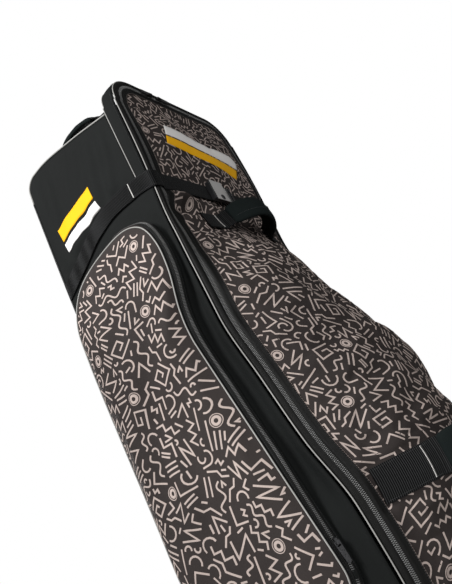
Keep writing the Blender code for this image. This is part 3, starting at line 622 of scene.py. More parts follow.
def across_hinge(piece):
    """Cloth that runs across the lid's hinge: its placement is baked into the mesh and it belongs to no
    body.
    """
    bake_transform(piece)
    return piece


def grid_normals(points, wrap=False):
    if wrap:
        along = np.roll(points, -1, axis=1) - np.roll(points, 1, axis=1)
    else:
        along = np.gradient(points, axis=1)
    return unit(np.cross(along, np.gradient(points, axis=0)))


def outward_sign(points, normal, middle):
    return 1.0 if np.sum((points - np.asarray(middle)) * normal) > 0 else -1.0


def grid_uv(points):
    """Metres along the rows and columns, measured through the middle of the grid."""
    rows, columns = points.shape[:2]
    row = points[rows // 2]
    column = points[:, columns // 2]
    u = np.concatenate(([0.0], np.cumsum(np.linalg.norm(np.diff(row, axis=0), axis=1))))
    v = np.concatenate(([0.0], np.cumsum(np.linalg.norm(np.diff(column, axis=0), axis=1))))
    return np.stack(np.meshgrid(u, v), axis=-1)


def panel(name, points, thickness, material, body, middle=MIDDLE, wrap=False, lining=None, uv=None):
    """A cloth panel as a closed solid: points (rows, columns, xyz) are its outer face."""
    rows, columns = points.shape[:2]
    normal = grid_normals(points, wrap)
    sign = outward_sign(points, normal, middle)
    inner = points - sign * normal * thickness
    uv = grid_uv(points) if uv is None else uv
    count = rows * columns
    index = np.arange(count).reshape(rows, columns)
    ahead = np.roll(index, -1, axis=1)
    last = columns if wrap else columns - 1
    outer = np.stack((index[:-1], ahead[:-1], ahead[1:], index[1:]), axis=-1)[:, :last].reshape(-1, 4)
    under = outer[:, ::-1] + count
    bottom = np.stack((index[0], ahead[0]), axis=-1)[:last]
    top = np.stack((ahead[-1], index[-1]), axis=-1)[:last]
    rims = [bottom, top]
    if not wrap:
        rims.append(np.stack((index[:-1, -1], index[1:, -1]), axis=-1))
        rims.append(np.stack((index[1:, 0], index[:-1, 0]), axis=-1))
    rim = np.concatenate(rims)
    walls = np.stack((rim[:, 1], rim[:, 0], rim[:, 0] + count, rim[:, 1] + count), axis=-1)
    faces = np.concatenate((outer, under, walls))
    if sign < 0:
        faces = faces[:, ::-1]
    inside = np.zeros(len(faces), int)
    if lining:
        inside[len(outer):len(outer) + len(under)] = 1
    return make_piece(
        name, np.concatenate((points.reshape(-1, 3), inner.reshape(-1, 3))), faces.tolist(),
        [material, lining] if lining else [material], body,
        np.concatenate((uv.reshape(-1, 2), uv.reshape(-1, 2))), inside,
    )


def loft(name, rings, material, body, closed=False):
    """A closed solid through rings of points (rings, points, xyz)."""
    rings = np.asarray(rings, float)
    count, around = rings.shape[:2]
    index = np.arange(count * around).reshape(count, around)
    ahead = np.roll(index, -1, axis=1)
    above = np.roll(index, -1, axis=0)
    above_ahead = np.roll(above, -1, axis=1)
    last = count if closed else count - 1
    sides = np.stack((index, ahead, above_ahead, above), axis=-1)[:last].reshape(-1, 4)
    faces = sides.tolist()
    if not closed:
        faces.append(index[0, ::-1].tolist())
        faces.append(index[-1].tolist())
    run = np.concatenate(([0.0], np.cumsum(np.linalg.norm(np.diff(rings[:, 0], axis=0), axis=1))))
    girth = np.concatenate(([0.0], np.cumsum(np.linalg.norm(np.diff(rings[0], axis=0), axis=1))))
    uv = np.stack(np.meshgrid(girth, run), axis=-1)
    piece = make_piece(name, rings.reshape(-1, 3), faces, [material], body, uv)
    face_outwards(piece)
    return piece


def path_frame(path, up, closed=False):
    """Unit tangent, unit direction up square to it, and the third direction."""
    if closed:
        tangent = unit(np.roll(path, -1, axis=0) - np.roll(path, 1, axis=0))
    else:
        tangent = unit(np.gradient(path, axis=0))
    up = np.broadcast_to(np.asarray(up, float), path.shape)
    rising = unit(up - np.sum(up * tangent, axis=1, keepdims=True) * tangent)
    return tangent, rising, np.cross(tangent, rising)


def section_sweep(name, path, up, section, material, body, closed=False):
    """Sweep a section of (across, up) points along a path."""
    _, rising, across = path_frame(path, up, closed)
    section = np.asarray(section, float)
    rings = path[:, None] + across[:, None] * section[None, :, :1] + rising[:, None] * section[None, :, 1:]
    return loft(name, rings, material, body, closed)


def circle(radius, sides=8, squash=1.0):
    turn = np.linspace(0, 2 * math.pi, sides, endpoint=False)
    return np.stack((radius * np.cos(turn), radius * squash * np.sin(turn)), axis=-1)


def tube(name, path, up, radius, material, body, closed=False, sides=8):
    return section_sweep(name, path, up, circle(radius, sides), material, body, closed)


def beads(name, centres, axes, ups, half_length, radius, material, body, flat=1.0, sides=6):
    """Many small rounded pegs in one piece: zip teeth and stitches."""
    axes = unit(axes)
    ups = unit(ups - np.sum(ups * axes, axis=1, keepdims=True) * axes)
    cross = np.cross(axes, ups)
    turn = np.linspace(0, 2 * math.pi, sides, endpoint=False)
    shape = [(-half_length, 0.0, 0.0)]
    for at in (-0.62, 0.62):
        shape += [(at * half_length, radius * math.cos(a), radius * flat * math.sin(a)) for a in turn]
    shape.append((half_length, 0.0, 0.0))
    shape = np.array(shape)
    points = (
        centres[:, None] + axes[:, None] * shape[None, :, :1]
        + cross[:, None] * shape[None, :, 1:2] + ups[:, None] * shape[None, :, 2:]
    )
    ring = np.arange(sides)
    ahead = (ring + 1) % sides
    low, high, tip = 1 + ring, 1 + sides + ring, 1 + 2 * sides
    quads = np.stack((low, 1 + ahead, 1 + sides + ahead, high), axis=-1)
    start = np.stack((np.zeros(sides, int), 1 + ahead, low), axis=-1)
    end = np.stack((np.full(sides, tip), high, 1 + sides + ahead), axis=-1)
    offset = (np.arange(len(centres)) * len(shape))[:, None, None]
    faces = (quads[None] + offset).reshape(-1, 4).tolist()
    faces += (start[None] + offset).reshape(-1, 3).tolist()
    faces += (end[None] + offset).reshape(-1, 3).tolist()
    flat_uv = (np.repeat(shape[None, :, :2], len(centres), axis=0)
               + np.arange(len(centres))[:, None, None] * 0.003)
    return make_piece(name, points, faces, [material], body, flat_uv)


def resample(path, pitch):
    """Points at an even pitch along a path, with their tangents."""
    run = np.concatenate(([0.0], np.cumsum(np.linalg.norm(np.diff(path, axis=0), axis=1))))
    at = np.arange(pitch / 2, run[-1], pitch)
    points = np.stack([np.interp(at, run, path[:, axis]) for axis in range(3)], axis=-1)
    return points, unit(np.gradient(points, axis=0)), at / run[-1]


def stitches(name, path, up, body, material=THREAD, pitch=STITCH_PITCH, thick=0.00042):
    points, tangents, _ = resample(path, pitch)
    ups = np.broadcast_to(np.asarray(up, float), points.shape)
    return beads(name, points, tangents, ups, pitch * 0.40, thick, material, body, 0.8)


# ---------------------------------------------------------------- webbing
def webbing_section(width, thickness):
    """Half of the outline in (across, height, rib share), round at the selvages."""
    half = width / 2
    return [
        (-half, thickness * 0.45, 0.0), (-half + 0.0007, thickness * 0.9, 0.3),
        (-half + 0.0022, thickness, 1.0),
        (-half / 3, thickness, 1.0), (half / 3, thickness, 1.0), (half - 0.0022, thickness, 1.0),
        (half - 0.0007, thickness * 0.9, 0.3), (half, thickness * 0.45, 0.0), (half - 0.0008, 0.0, 0.0),
        (-half + 0.0008, 0.0, 0.0),
    ]


def ribs(run):
    return 0.0009 * (0.5 - 0.5 * np.cos(2 * math.pi * run / RIB_PITCH)) - 0.0005


def ribbed_strap(name, length, place, width, body, thickness=WEBBING):
    """place(run, across, height) gives points; the ribs run across the strap."""
    run = np.arange(0.0, length, RIB_PITCH / 4)
    columns = []
    for across, height, share in webbing_section(width, thickness):
        columns.append(place(run, across, height + share * ribs(run)))
    return loft(name, np.stack(columns, axis=1), WEB, body)


def bar_tack(name, place, run, width, body, height=WEBBING, material=WHITE_THREAD):
    """A dense row of thread across the webbing."""
    across = np.linspace(-width / 2 * 0.86, width / 2 * 0.86, 26)
    line = np.array([place(np.array([run]), a, np.array([height + 0.00025]))[0] for a in across])
    side = np.array([place(np.array([run + 0.002]), a,
        np.array([height + 0.00025]))[0] for a in across]) - line
    up = np.array([place(np.array([run]), a, np.array([height + 0.003]))[0] for a in across]) - line
    return beads(name, line, unit(side) + 0.35 * unit(np.gradient(line, axis=0)), up, 0.0012, 0.0006,
        material, body)


# ---------------------------------------------------------------- the lid's cloth
LID_LEVELS = np.concatenate((
    np.arange(LID_CLOTH_LOW_Z, 0.176, 0.0022), np.arange(0.178, 0.86, 0.0050),
    np.arange(0.86, 1.00, 0.0034), np.arange(1.00, CORNER_Z, 0.0050),
    CORNER_Z + (CORNER_RADIUS - LID_CLOTH_INSET) * np.sin(np.linspace(0.0, math.pi / 2, 14)[1:]),
))
LID_COLUMNS = 111


def lid_cloth_half(z):
    """Half of the printed cloth's width over the fabric, with its rounded top corners."""
    reach = CORNER_RADIUS - LID_CLOTH_INSET
    above = np.maximum(z - CORNER_Z, 0.0)
    rounded = TOP_HALF + np.sqrt(np.maximum(reach ** 2 - above ** 2, 0.0))
    return np.where(z > CORNER_Z, rounded, half_girth(z) - LID_CLOTH_INSET)


def pinned_share(girth, z):
    """1 where something holds the cloth down, 0 where it is free."""
    edge = np.abs(girth) / lid_cloth_half(z)
    hold = rise(0.86, 0.95, edge)
    hold = np.maximum(hold, 1 - rise(0.19, 0.24, z))
    hold = np.maximum(hold, rise(1.19, 1.225, z))
    for middle, half_band, reach in ((STRAP_Z, 0.020, 1.0), (0.918, 0.022, 0.14), (0.390, 0.027, 0.21)):
        band = (1 - rise(half_band, half_band + 0.018, np.abs(z - middle)))
        hold = np.maximum(hold, band * (1 - rise(reach - 0.01, reach + 0.01, np.abs(girth))))
    return hold


def relax_cloth(points, hold, slack=0.015, pressure=0.6, limit=0.006, frames=20):
    """Let a panel that is cut a little too large billow and wrinkle, held where hold is 1."""
    rows, columns = points.shape[:2]
    mesh = bpy.data.meshes.new("relaxing")
    index = np.arange(rows * columns).reshape(rows, columns)
    faces = np.stack((index[:-1, :-1], index[:-1, 1:], index[1:, 1:], index[1:, :-1]), axis=-1)
    mesh.from_pydata(points.reshape(-1, 3).tolist(), [], faces.reshape(-1, 4).tolist())
    piece = bpy.data.objects.new("relaxing", mesh)
    bpy.context.scene.collection.objects.link(piece)
    group = piece.vertex_groups.new(name="held")
    for i, share in enumerate(hold.ravel()):
        if share > 0.001:
            group.add([i], float(share), "REPLACE")
    cloth = piece.modifiers.new("cloth", "CLOTH")
    settings = cloth.settings
    settings.quality = 4
    settings.mass = 0.25
    settings.tension_stiffness = 30
    settings.compression_stiffness = 30
    settings.shear_stiffness = 10
    settings.bending_stiffness = 1.2
    settings.air_damping = 4
    settings.vertex_group_mass = "held"
    settings.shrink_min = -slack
    settings.shrink_max = -slack
    settings.use_pressure = True
    settings.uniform_pressure_force = pressure
    settings.effector_weights.gravity = 0.0
    cloth.collision_settings.use_collision = False
    cloth.point_cache.frame_start = 1
    cloth.point_cache.frame_end = frames
    scene = bpy.context.scene
    for number in range(1, frames + 1):
        scene.frame_set(number)
    evaluated = piece.evaluated_get(bpy.context.evaluated_depsgraph_get())
    relaxed = np.zeros(len(evaluated.data.vertices) * 3)
    evaluated.data.vertices.foreach_get("co", relaxed)
    relaxed = relaxed.reshape(points.shape)
    scene.frame_set(1)
    bpy.data.objects.remove(piece, do_unlink=True)
    move = relaxed - points
    distance = np.linalg.norm(move, axis=-1, keepdims=True)
    soft = limit * np.tanh(distance / limit) / np.maximum(distance, 1e-9)
    return points + move * soft * (1 - hold[..., None])


def lid_grid():
    share = np.linspace(-1.0, 1.0, LID_COLUMNS)
    z = np.repeat(LID_LEVELS[:, None], LID_COLUMNS, axis=1)
    girth = lid_cloth_half(z) * share[None, :]
    points = lid_surface(girth, z)
    points = relax_cloth(points, pinned_share(girth, z))
    return girth, z, points


LID_GIRTH, LID_Z, LID_POINTS = lid_grid()
LID_NORMALS = grid_normals(LID_POINTS)
LID_NORMALS *= outward_sign(LID_POINTS, LID_NORMALS, MIDDLE)


def on_lid_cloth(girth, z, lift):
    """Points on the finished cloth of the lid, with its folds."""
    row = np.interp(z, LID_LEVELS, np.arange(len(LID_LEVELS)))
    column = (girth / lid_cloth_half(z) + 1) / 2 * (LID_COLUMNS - 1)
    normal = unit(bilinear(LID_NORMALS, row, column))
    return bilinear(LID_POINTS, row, column) + lift * normal


def build_lid_cloth():
    cloth = panel(
        "lid_cloth", LID_POINTS, CLOTH * 0.8, GROUND, None,
        lining=LINING, uv=np.stack((LID_GIRTH, LID_Z), axis=-1),
    )
    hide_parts("lid_panel")
    across_hinge(cloth)


# ---------------------------------------------------------------- the print
def arc(start, end, radius, count=9, centre=(0.0, 0.0)):
    turn = np.radians(np.linspace(start, end, count))
    return [(centre[0] + radius * math.cos(a), centre[1] + radius * math.sin(a)) for a in turn]


def squiggle(waves, length, height, count=17):
    at = np.linspace(-0.5, 0.5, count)
    return [(a * length, height * math.sin(2 * math.pi * waves * (a + 0.5))) for a in at]


# Own doodles, each a few strokes about one unit across.
DASH = [[(-0.55, 0.0), (0.55, 0.0)]]
VEE = [[(-0.42, 0.45), (0.0, -0.45), (0.42, 0.45)]]
ELL = [[(-0.35, 0.60), (-0.35, -0.40), (0.42, -0.40)]]
ZED = [[(-0.45, 0.42), (0.40, 0.42), (-0.40, -0.42), (0.45, -0.42)]]
SWAY = [[(-0.55, 0.10), (-0.10, 0.45), (0.10, -0.10), (0.55, 0.25)]]
HOOK = [arc(20, 220, 0.42)]
DOODLES = [
    ZED, VEE, ELL, HOOK,
    [[(-0.70, -0.26), (-0.36, 0.28), (-0.02, -0.26), (0.32, 0.28), (0.66, -0.26)]],
    [[(-0.90, -0.24), (-0.56, 0.26), (-0.22, -0.24), (0.12, 0.26), (0.46, -0.24), (0.80, 0.26)]],
    [[(-0.45, -0.62), (-0.15, 0.55), (0.12, -0.50), (0.42, 0.62)]],
    [[(-0.60, 0.30), (-0.20, 0.30), (-0.20, -0.12), (0.24, -0.12), (0.24, -0.50), (0.62, -0.50)]],
    [squiggle(1.5, 1.5, 0.20)],
    [squiggle(2.0, 1.9, 0.17, 23)],
    [arc(0, 180, 0.38) + [(-0.38, -0.55)]],
    [[(0.48, -0.50), (0.48, 0.48), (-0.48, 0.48), (-0.48, -0.40), (0.10, -0.40), (0.10, 0.10),
        (-0.14, 0.10)]],
    [[(-0.60, 0.50), (0.55, 0.50), (0.55, -0.30), (-0.25, -0.30), (-0.25, 0.14), (0.20, 0.14)]],
    [[(-0.5, 0.16), (0.5, 0.16)], [(-0.5, -0.16), (0.5, -0.16)]],
    [[(-0.5, 0.32), (0.5, 0.32)], [(-0.5, 0.0), (0.5, 0.0)], [(-0.5, -0.32), (0.5, -0.32)]],
    [[(-0.6, 0.25), (-0.3, -0.25), (0.0, 0.25), (0.3, -0.25), (0.6, 0.25), (0.9, -0.25)]],
    [[(-0.30, -0.70), (-0.30, 0.10), (0.25, 0.10), (0.25, 0.70)]],
    [[(-0.25, -0.75), (-0.25, 0.0), (0.05, 0.25), (0.05, 0.75)]],
    [[(-0.75, 0.0), (0.75, 0.0)]],
]
SMALL_DOODLES = [DASH, VEE, ELL, HOOK, SWAY, ZED]


def spaced_stroke(corners, spacing=0.0042):
    """Corners kept, and even points between them."""
    points = []
    for a, b in zip(corners[:-1], corners[1:]):
        steps = max(1, int(np.hypot(*(b - a)) / spacing))
        points += [a + (b - a) * k / steps for k in range(steps)]
    points.append(corners[-1])
    return np.array(points)


class PrintSheet:
    """Packs doodles over a flat region so that none touch."""

    cell = 0.0010

    def __init__(self, low, high, inside, seed):
        self.low = np.array(low)
        size = ((np.array(high) - self.low) / self.cell).astype(int) + 2
        self.taken = np.zeros(size, bool)
        self.inside = inside
        self.draw = np.random.default_rng(seed)
        self.strokes = []
        self.rings = []
        self.high = np.array(high)

    def cells(self, points):
        return np.clip(((points - self.low) / self.cell).astype(int), 0, np.array(self.taken.shape) - 1)

    def mark(self, points, margin):
        reach = int(math.ceil(margin / self.cell))
        grid = np.arange(-reach, reach + 1)
        dx, dy = np.meshgrid(grid, grid)
        round_spot = np.hypot(dx, dy) * self.cell <= margin
        offsets = np.stack((dx[round_spot], dy[round_spot]), axis=-1)
        spots = (self.cells(points)[:, None] + offsets[None]).reshape(-1, 2)
        spots = np.clip(spots, 0, np.array(self.taken.shape) - 1)
        self.taken[spots[:, 0], spots[:, 1]] = True

    def free(self, points):
        spots = self.cells(points)
        return not self.taken[spots[:, 0], spots[:, 1]].any()

    def spot(self):
        return self.low + self.draw.random(2) * (self.high - self.low)

    def add_rings(self, tries, radius, gap):
        turn = np.linspace(0, 2 * math.pi, 24)
        outline = np.stack((np.cos(turn), np.sin(turn)), axis=-1) * radius
        disc = np.concatenate([outline * share for share in (1.0, 0.66, 0.33, 0.0)])
        for _ in range(tries):
            centre = self.spot()
            if self.inside(centre[None] + outline).all() and self.free(centre + disc):
                self.mark(centre + disc, gap + 0.001)
                self.rings.append((centre, radius))
                self.mark(centre[None], 0.095)

    def open_rings(self):
        """Forget the wide margins that keep the rings apart."""
        self.taken[:] = False
        turn = np.linspace(0, 2 * math.pi, 40)
        outline = np.stack((np.cos(turn), np.sin(turn)), axis=-1)
        for centre, radius in self.rings:
            for share in (1.0, 0.7, 0.4, 0.1):
                self.mark(centre + outline * radius * share, STROKE + 0.0016)

    def fill(self, doodles, tries, low_size, high_size, gap):
        for _ in range(tries):
            doodle = doodles[self.draw.integers(len(doodles))]
            size = self.draw.uniform(low_size, high_size)
            turn = self.draw.uniform(0, 2 * math.pi)
            flip = 1.0 if self.draw.random() < 0.5 else -1.0
            centre = self.spot()
            if not self.free(centre[None]) or not self.inside(centre[None])[0]:
                continue
            spin = np.array(((math.cos(turn), -math.sin(turn)), (math.sin(turn), math.cos(turn))))
            placed = [np.array(stroke) * (size * flip, size) @ spin.T + centre for stroke in doodle]
            fine = np.concatenate([spaced_stroke(stroke, 0.0011) for stroke in placed])
            if not self.free(fine):
                continue
            self.mark(fine, STROKE + gap)
            self.strokes += [spaced_stroke(stroke) for stroke in placed]

    def clipped(self):
        """The parts of the strokes that lie on the cloth."""
        for stroke in self.strokes:
            held = self.inside(stroke)
            start = None
            for k, keep in enumerate(list(held) + [False]):
                if keep and start is None:
                    start = k
                if not keep and start is not None:
                    if k - start > 1:
                        yield stroke[start:k]
                    start = None


def mitred(stroke, half, closed=False):
    """Left and right edges of a flat stroke."""
    if closed:
        before = unit(stroke - np.roll(stroke, 1, axis=0))
        after = unit(np.roll(stroke, -1, axis=0) - stroke)
    else:
        step = unit(np.diff(stroke, axis=0))
        before = np.concatenate((step[:1], step))
        after = np.concatenate((step, step[-1:]))
    bisector = unit(before + after)
    side = np.stack((-bisector[:, 1], bisector[:, 0]), axis=-1)
    widen = 1.0 / np.clip(np.sum(bisector * after, axis=1), 0.55, 1.0)
    return stroke + side * (half * widen)[:, None], stroke - side * (half * widen)[:, None]


def print_strokes(name, strokes, rings, place, body, stroke_width=STROKE):
    """Thin closed ribbons that lie on the cloth: place(points, lift) puts them there."""
    points, faces, flat = [], [], []

    def ribbon(stroke, half, closed):
        left, right = mitred(stroke, half, closed)
        start = sum(len(block) for block in points)
        count = len(stroke)
        for edge, height in ((left, PRINT_LIFT), (right, PRINT_LIFT), (right, -PRINT_LIFT),
                (left, -PRINT_LIFT)):
            points.append(place(edge, height))
            flat.append(edge)
        index = start + np.arange(count)
        ahead = np.roll(index, -1)
        last = count if closed else count - 1
        for a, b in ((0, 1), (1, 2), (2, 3), (3, 0)):
            quads = np.stack((index + a * count, ahead + a * count, ahead + b * count, index + b * count),
                axis=-1)
            faces.extend(quads[:last].tolist())
        if not closed:
            faces.append([start + k * count for k in (0, 1, 2, 3)])
            faces.append([start + k * count + count - 1 for k in (3, 2, 1, 0)])

    for stroke in strokes:
        ribbon(stroke, stroke_width / 2, False)
    turn = np.linspace(0, 2 * math.pi, 28, endpoint=False)
    outline = np.stack((np.cos(turn), np.sin(turn)), axis=-1)
    for centre, radius in rings:
        ribbon(centre + outline * radius, 0.0006, True)
        ribbon(centre + outline * radius * 0.56, radius * 0.21, True)
    piece = make_piece(
        name, np.concatenate(points), faces, [STROKES], None, np.concatenate(flat),
        smooth=False,
    )
    if body:
        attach(piece, body)
    else:
        across_hinge(piece)
    face_outwards(piece)
    return piece


def face_outwards(piece):
    """Make every small closed piece in the mesh face out."""
    mesh = bmesh.new()
    mesh.from_mesh(piece.data)
    bmesh.ops.recalc_face_normals(mesh, faces=mesh.faces)
    mesh.to_mesh(piece.data)
    mesh.free()


def filled_sheet(low, high, inside, seed, scale):
    """A sheet of doodles, the large ones first and small ones in the gaps."""
    area = (high[0] - low[0]) * (high[1] - low[1])
    sheet = PrintSheet(low, high, inside, seed)
    sheet.add_rings(int(1200 * area / 0.2), 0.0100 * scale, 0.002)
    sheet.open_rings()
    for doodles, tries, low_size, high_size, gap in (
        (DOODLES, 14000, 0.023, 0.032, 0.0026),
        (DOODLES, 26000, 0.017, 0.024, 0.0024),
        (SMALL_DOODLES, 26000, 0.012, 0.018, 0.0023),
        (SMALL_DOODLES[:4], 12000, 0.008, 0.012, 0.0023),
    ):
        tries = int(tries * area / 0.2 / scale ** 1.5)
        sheet.fill(doodles, tries, low_size * scale, high_size * scale, gap * scale)
    return sheet


def build_prints():
    top = BODY_TOP - LID_CLOTH_INSET

    def on_lid(points):
        girth, z = points[:, 0], points[:, 1]
        return (np.abs(girth) < lid_cloth_half(z) - 0.0022) & (z > 0.157) & (z < top - 0.0012)

    def lid_place(points, lift):
        return on_lid_cloth(points[:, 0], points[:, 1], lift)

    sheet = filled_sheet((-0.275, 0.156), (0.275, top), on_lid, 5, LID_PRINT_SCALE)
    print_strokes("lid_print", list(sheet.clipped()), sheet.rings, lid_place, None,
        STROKE * LID_PRINT_SCALE)
    for prefix, side, seed in (("left", -1, 61), ("right", 1, 71)):
        def in_pocket(points):
            return pocket_reach(points[:, 0], points[:, 1]) < 0.972

        def pocket_place(points, lift, side=side, seed=seed):
            return pocket_surface(side, points[:, 0], points[:, 1], seed, lift + 0.0001)

        sheet = filled_sheet((-0.137, 0.244), (0.131, 0.952), in_pocket, seed, 1.0)
        print_strokes(prefix + "_pocket_print", list(sheet.clipped()), sheet.rings, pocket_place, "shell")


def mark_patch(name, corners, place, body, material):
    """A plain four-cornered patch of ink, curved with the cloth under it."""
    a, b, c, d = (np.array(corner) for corner in corners)
    share = np.linspace(0.0, 1.0, 41)
    down = np.linspace(0.0, 1.0, 7)[:, None, None]
    flat = (a + (b - a) * share[:, None])[None] * (1 - down) + (d + (c - d) * share[:, None])[None] * down
    points = place(flat[..., 0], flat[..., 1])
    panel(name, points, 0.0004, material, body, uv=flat)


def build_marks():
    """Plain patches of ink where the real bag has its printed marks."""
    def lid_place(girth, z):
        return on_lid_cloth(girth, z, 0.0009)

    def side_place(y, z):
        return np.stack((-half_width(z) - side_fold(-1, y, z) - 0.0009, y, z), axis=-1)

    mark_patch(
        "lid_mark_white", ((-0.092, 1.157), (0.142, 1.136), (0.122, 1.103), (-0.102, 1.129)),
        lid_place, "lid", WHITE_INK,
    )
    mark_patch(
        "lid_mark_amber", ((-0.103, 1.1255), (0.118, 1.0995), (0.102, 1.072), (-0.111, 1.1035)),
        lid_place, "lid", AMBER_INK,
    )
    mark_patch(
        "side_mark_amber", ((-0.001, 1.101), (0.117, 1.084), (0.112, 1.052), (-0.005, 1.069)),
        side_place, "shell", AMBER_INK,
    )
    mark_patch(
        "side_mark_white", ((-0.006, 1.061), (0.111, 1.044), (0.106, 1.022), (-0.010, 1.041)),
        side_place, "shell", WHITE_INK,
    )


# ---------------------------------------------------------------- zip, tapes and pipings of the lid
def edge_path(inset, lift, count=640, low=0.0, high=1.0):
    girth, z = lid_edge(np.linspace(low, high, count), inset)
    return lid_surface(girth, z, lift)


def edge_sweep(name, section, material, body, count=640, low=0.0, high=1.0):
    rings = np.stack([edge_path(inset, lift, count, low, high) for inset, lift in section], axis=1)
    return loft(name, rings, material, body)


def edge_coil(name, inset, material, body, half_length=0.0022):
    """One half of the spiral coil: small pegs across the zip."""
    path = edge_path(inset, 0.0006, 2600)
    centres, tangents, along = resample(path, COIL_PITCH)
    inner = lid_surface(*lid_edge(along, inset + 0.004), 0.0006)
    across = inner - lid_surface(*lid_edge(along, inset), 0.0006)
    ups = np.cross(tangents, unit(across))
    return beads(name, centres, across, ups, half_length, 0.00074, material, body, 1.15)


def build_zip():
    outer = edge_sweep("outer_zip_tape", [
        (0.0044, -0.0038), (0.0044, 0.0002), (0.0050, 0.0013), (0.0066, 0.0022), (0.0090, 0.0026),
        (0.0114, 0.0024), (0.0134, 0.0014), (0.0146, 0.0004), (0.0160, 0.0000), (0.0176, 0.0000),
        (0.0176, -0.0018), (0.0150, -0.0036), (0.0100, -0.0039),
    ], TAPE, "shell")
    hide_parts("zip_frame")
    inner = edge_sweep("lid_zip_welt", [
        (0.0184, -0.0018), (0.0184, 0.0000), (0.0202, 0.0000), (0.0210, 0.0008), (0.0226, 0.0018),
        (0.0250, 0.0021), (0.0272, 0.0015), (0.0286, 0.0009), (0.0312, 0.0012), (0.0338, 0.0010),
        (0.0343, 0.0004), (0.0302, 0.0003), (0.0300, -0.0036), (0.0204, -0.0036),
    ], TAPE, None)
    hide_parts("lid_zip_tape")
    across_hinge(inner)
    edge_coil("outer_coil", 0.0164, COIL, "shell")
    across_hinge(edge_coil("lid_coil", 0.0196, COIL, None))
    up = np.array((0.0, -1.0, 0.0))
    stitches("outer_tape_stitch", edge_path(0.0148, 0.0008, 1300), up, "shell")
    across_hinge(stitches("lid_tape_stitch", edge_path(0.0330, 0.0012, 1300), up, None))
    across_hinge(stitches("lid_edge_thread", edge_path(0.0347, 0.0010, 1300), up, None,
        material=PALE_THREAD))
    notch = PIPING_NOTCH / 2
    piping = tube("outer_piping", edge_path(notch, -notch + 0.0004), up, 0.0011, PIPING, "shell")
    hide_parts("zip_piping")


# ---------------------------------------------------------------- the black shell
def build_sides():
    low = TRAY_RIM_Z + SEAM
    rows, columns = 190, 66
    t = np.linspace(0.0, 1.0, rows)[:, None] * np.ones((1, columns))
    s = (1 - (1 - np.linspace(0.0, 1.0, columns)) ** 1.35)[None, :] * np.ones((rows, 1))
    front_top = side_top(HOOP_BACK_Y) - CLOTH - SEAM
    height = low + t * (front_top - low)
    front = np.where(height < HOOP_LOW_Z - 0.002, edge_y(height) + CLOTH + SEAM, HOOP_BACK_Y + SEAM)
    y = front + s * (BACK_Y - 0.0004 - front)
    z = low + t * (side_top(y) - 0.0015 - low)
    for prefix, side in (("left", -1), ("right", 1)):
        points = np.stack((side * (half_width(z) + side_fold(side, y, z)), y, z), axis=-1)
        cloth = panel(
            prefix + "_side_cloth", points, CLOTH * 0.8, BLACK, "shell",
            lining=LINING, uv=np.stack((y, z), axis=-1),
        )
        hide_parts(prefix + "_side_panel")


def hoop_edge(count, inset=0.0, y_share=0.0):
    """Points round the hoop from its low left end over the top to the right."""
    low = (HOOP_LOW_Z - LID_HINGE_Z) / EDGE_RUN
    girth, z = lid_edge(np.linspace(low, 1 - low, count), inset)
    front = edge_y(z) + CLOTH + SEAM
    return np.stack((girth, front + y_share * (HOOP_BACK_Y - front), z), axis=-1)


def build_hoop():
    count = 300
    shares = np.linspace(0.0, 1.0, 9)
    points = []
    for share in shares:
        swell = 0.0016 * math.sin(math.pi * share) - 0.0004
        points.append(hoop_edge(count, -swell, share))
    hoop = panel(
        "hoop_cloth", np.array(points), CLOTH * 0.8, BLACK, "shell",
        middle=(0.0, -0.12, 0.9), lining=LINING,
    )
    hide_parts("head_gusset")
    back = hoop_edge(count, 0.0002, 1.0)
    tube("hoop_piping", back, (0.0, -1.0, 0.0), 0.0009, PIPING, "shell")
    line = hoop_edge(count, -0.0008, 0.12)
    stitches("hoop_stitch", line, (0.0, 0.0, 1.0), "shell", thick=0.00035)


def head_back_path(x_share, steps):
    """Head end and back in one run: over the head, round the corner and down the back."""
    start_y = HOOP_BACK_Y + SEAM
    corner_y = BACK_Y - BACK_CORNER
    over = np.linspace(start_y, corner_y, steps[0])
    turn = np.linspace(0.0, math.pi / 2, steps[1])[1:]
    x_top = x_share * half_width(BODY_TOP)
    crown = head_z(x_top, over)
    z_corner = head_z(x_top, corner_y)
    arc_y = corner_y + BACK_CORNER * np.sin(turn)
    arc_z = z_corner - BACK_CORNER * (1 - np.cos(turn))
    down = np.linspace(z_corner - BACK_CORNER, TRAY_RIM_Z + SEAM, steps[2])[1:]
    y = np.concatenate((over, arc_y, np.full(len(down), BACK_Y)))
    z = np.concatenate((crown, arc_z, down))
    return np.stack((x_share * half_width(z), y, z), axis=-1)


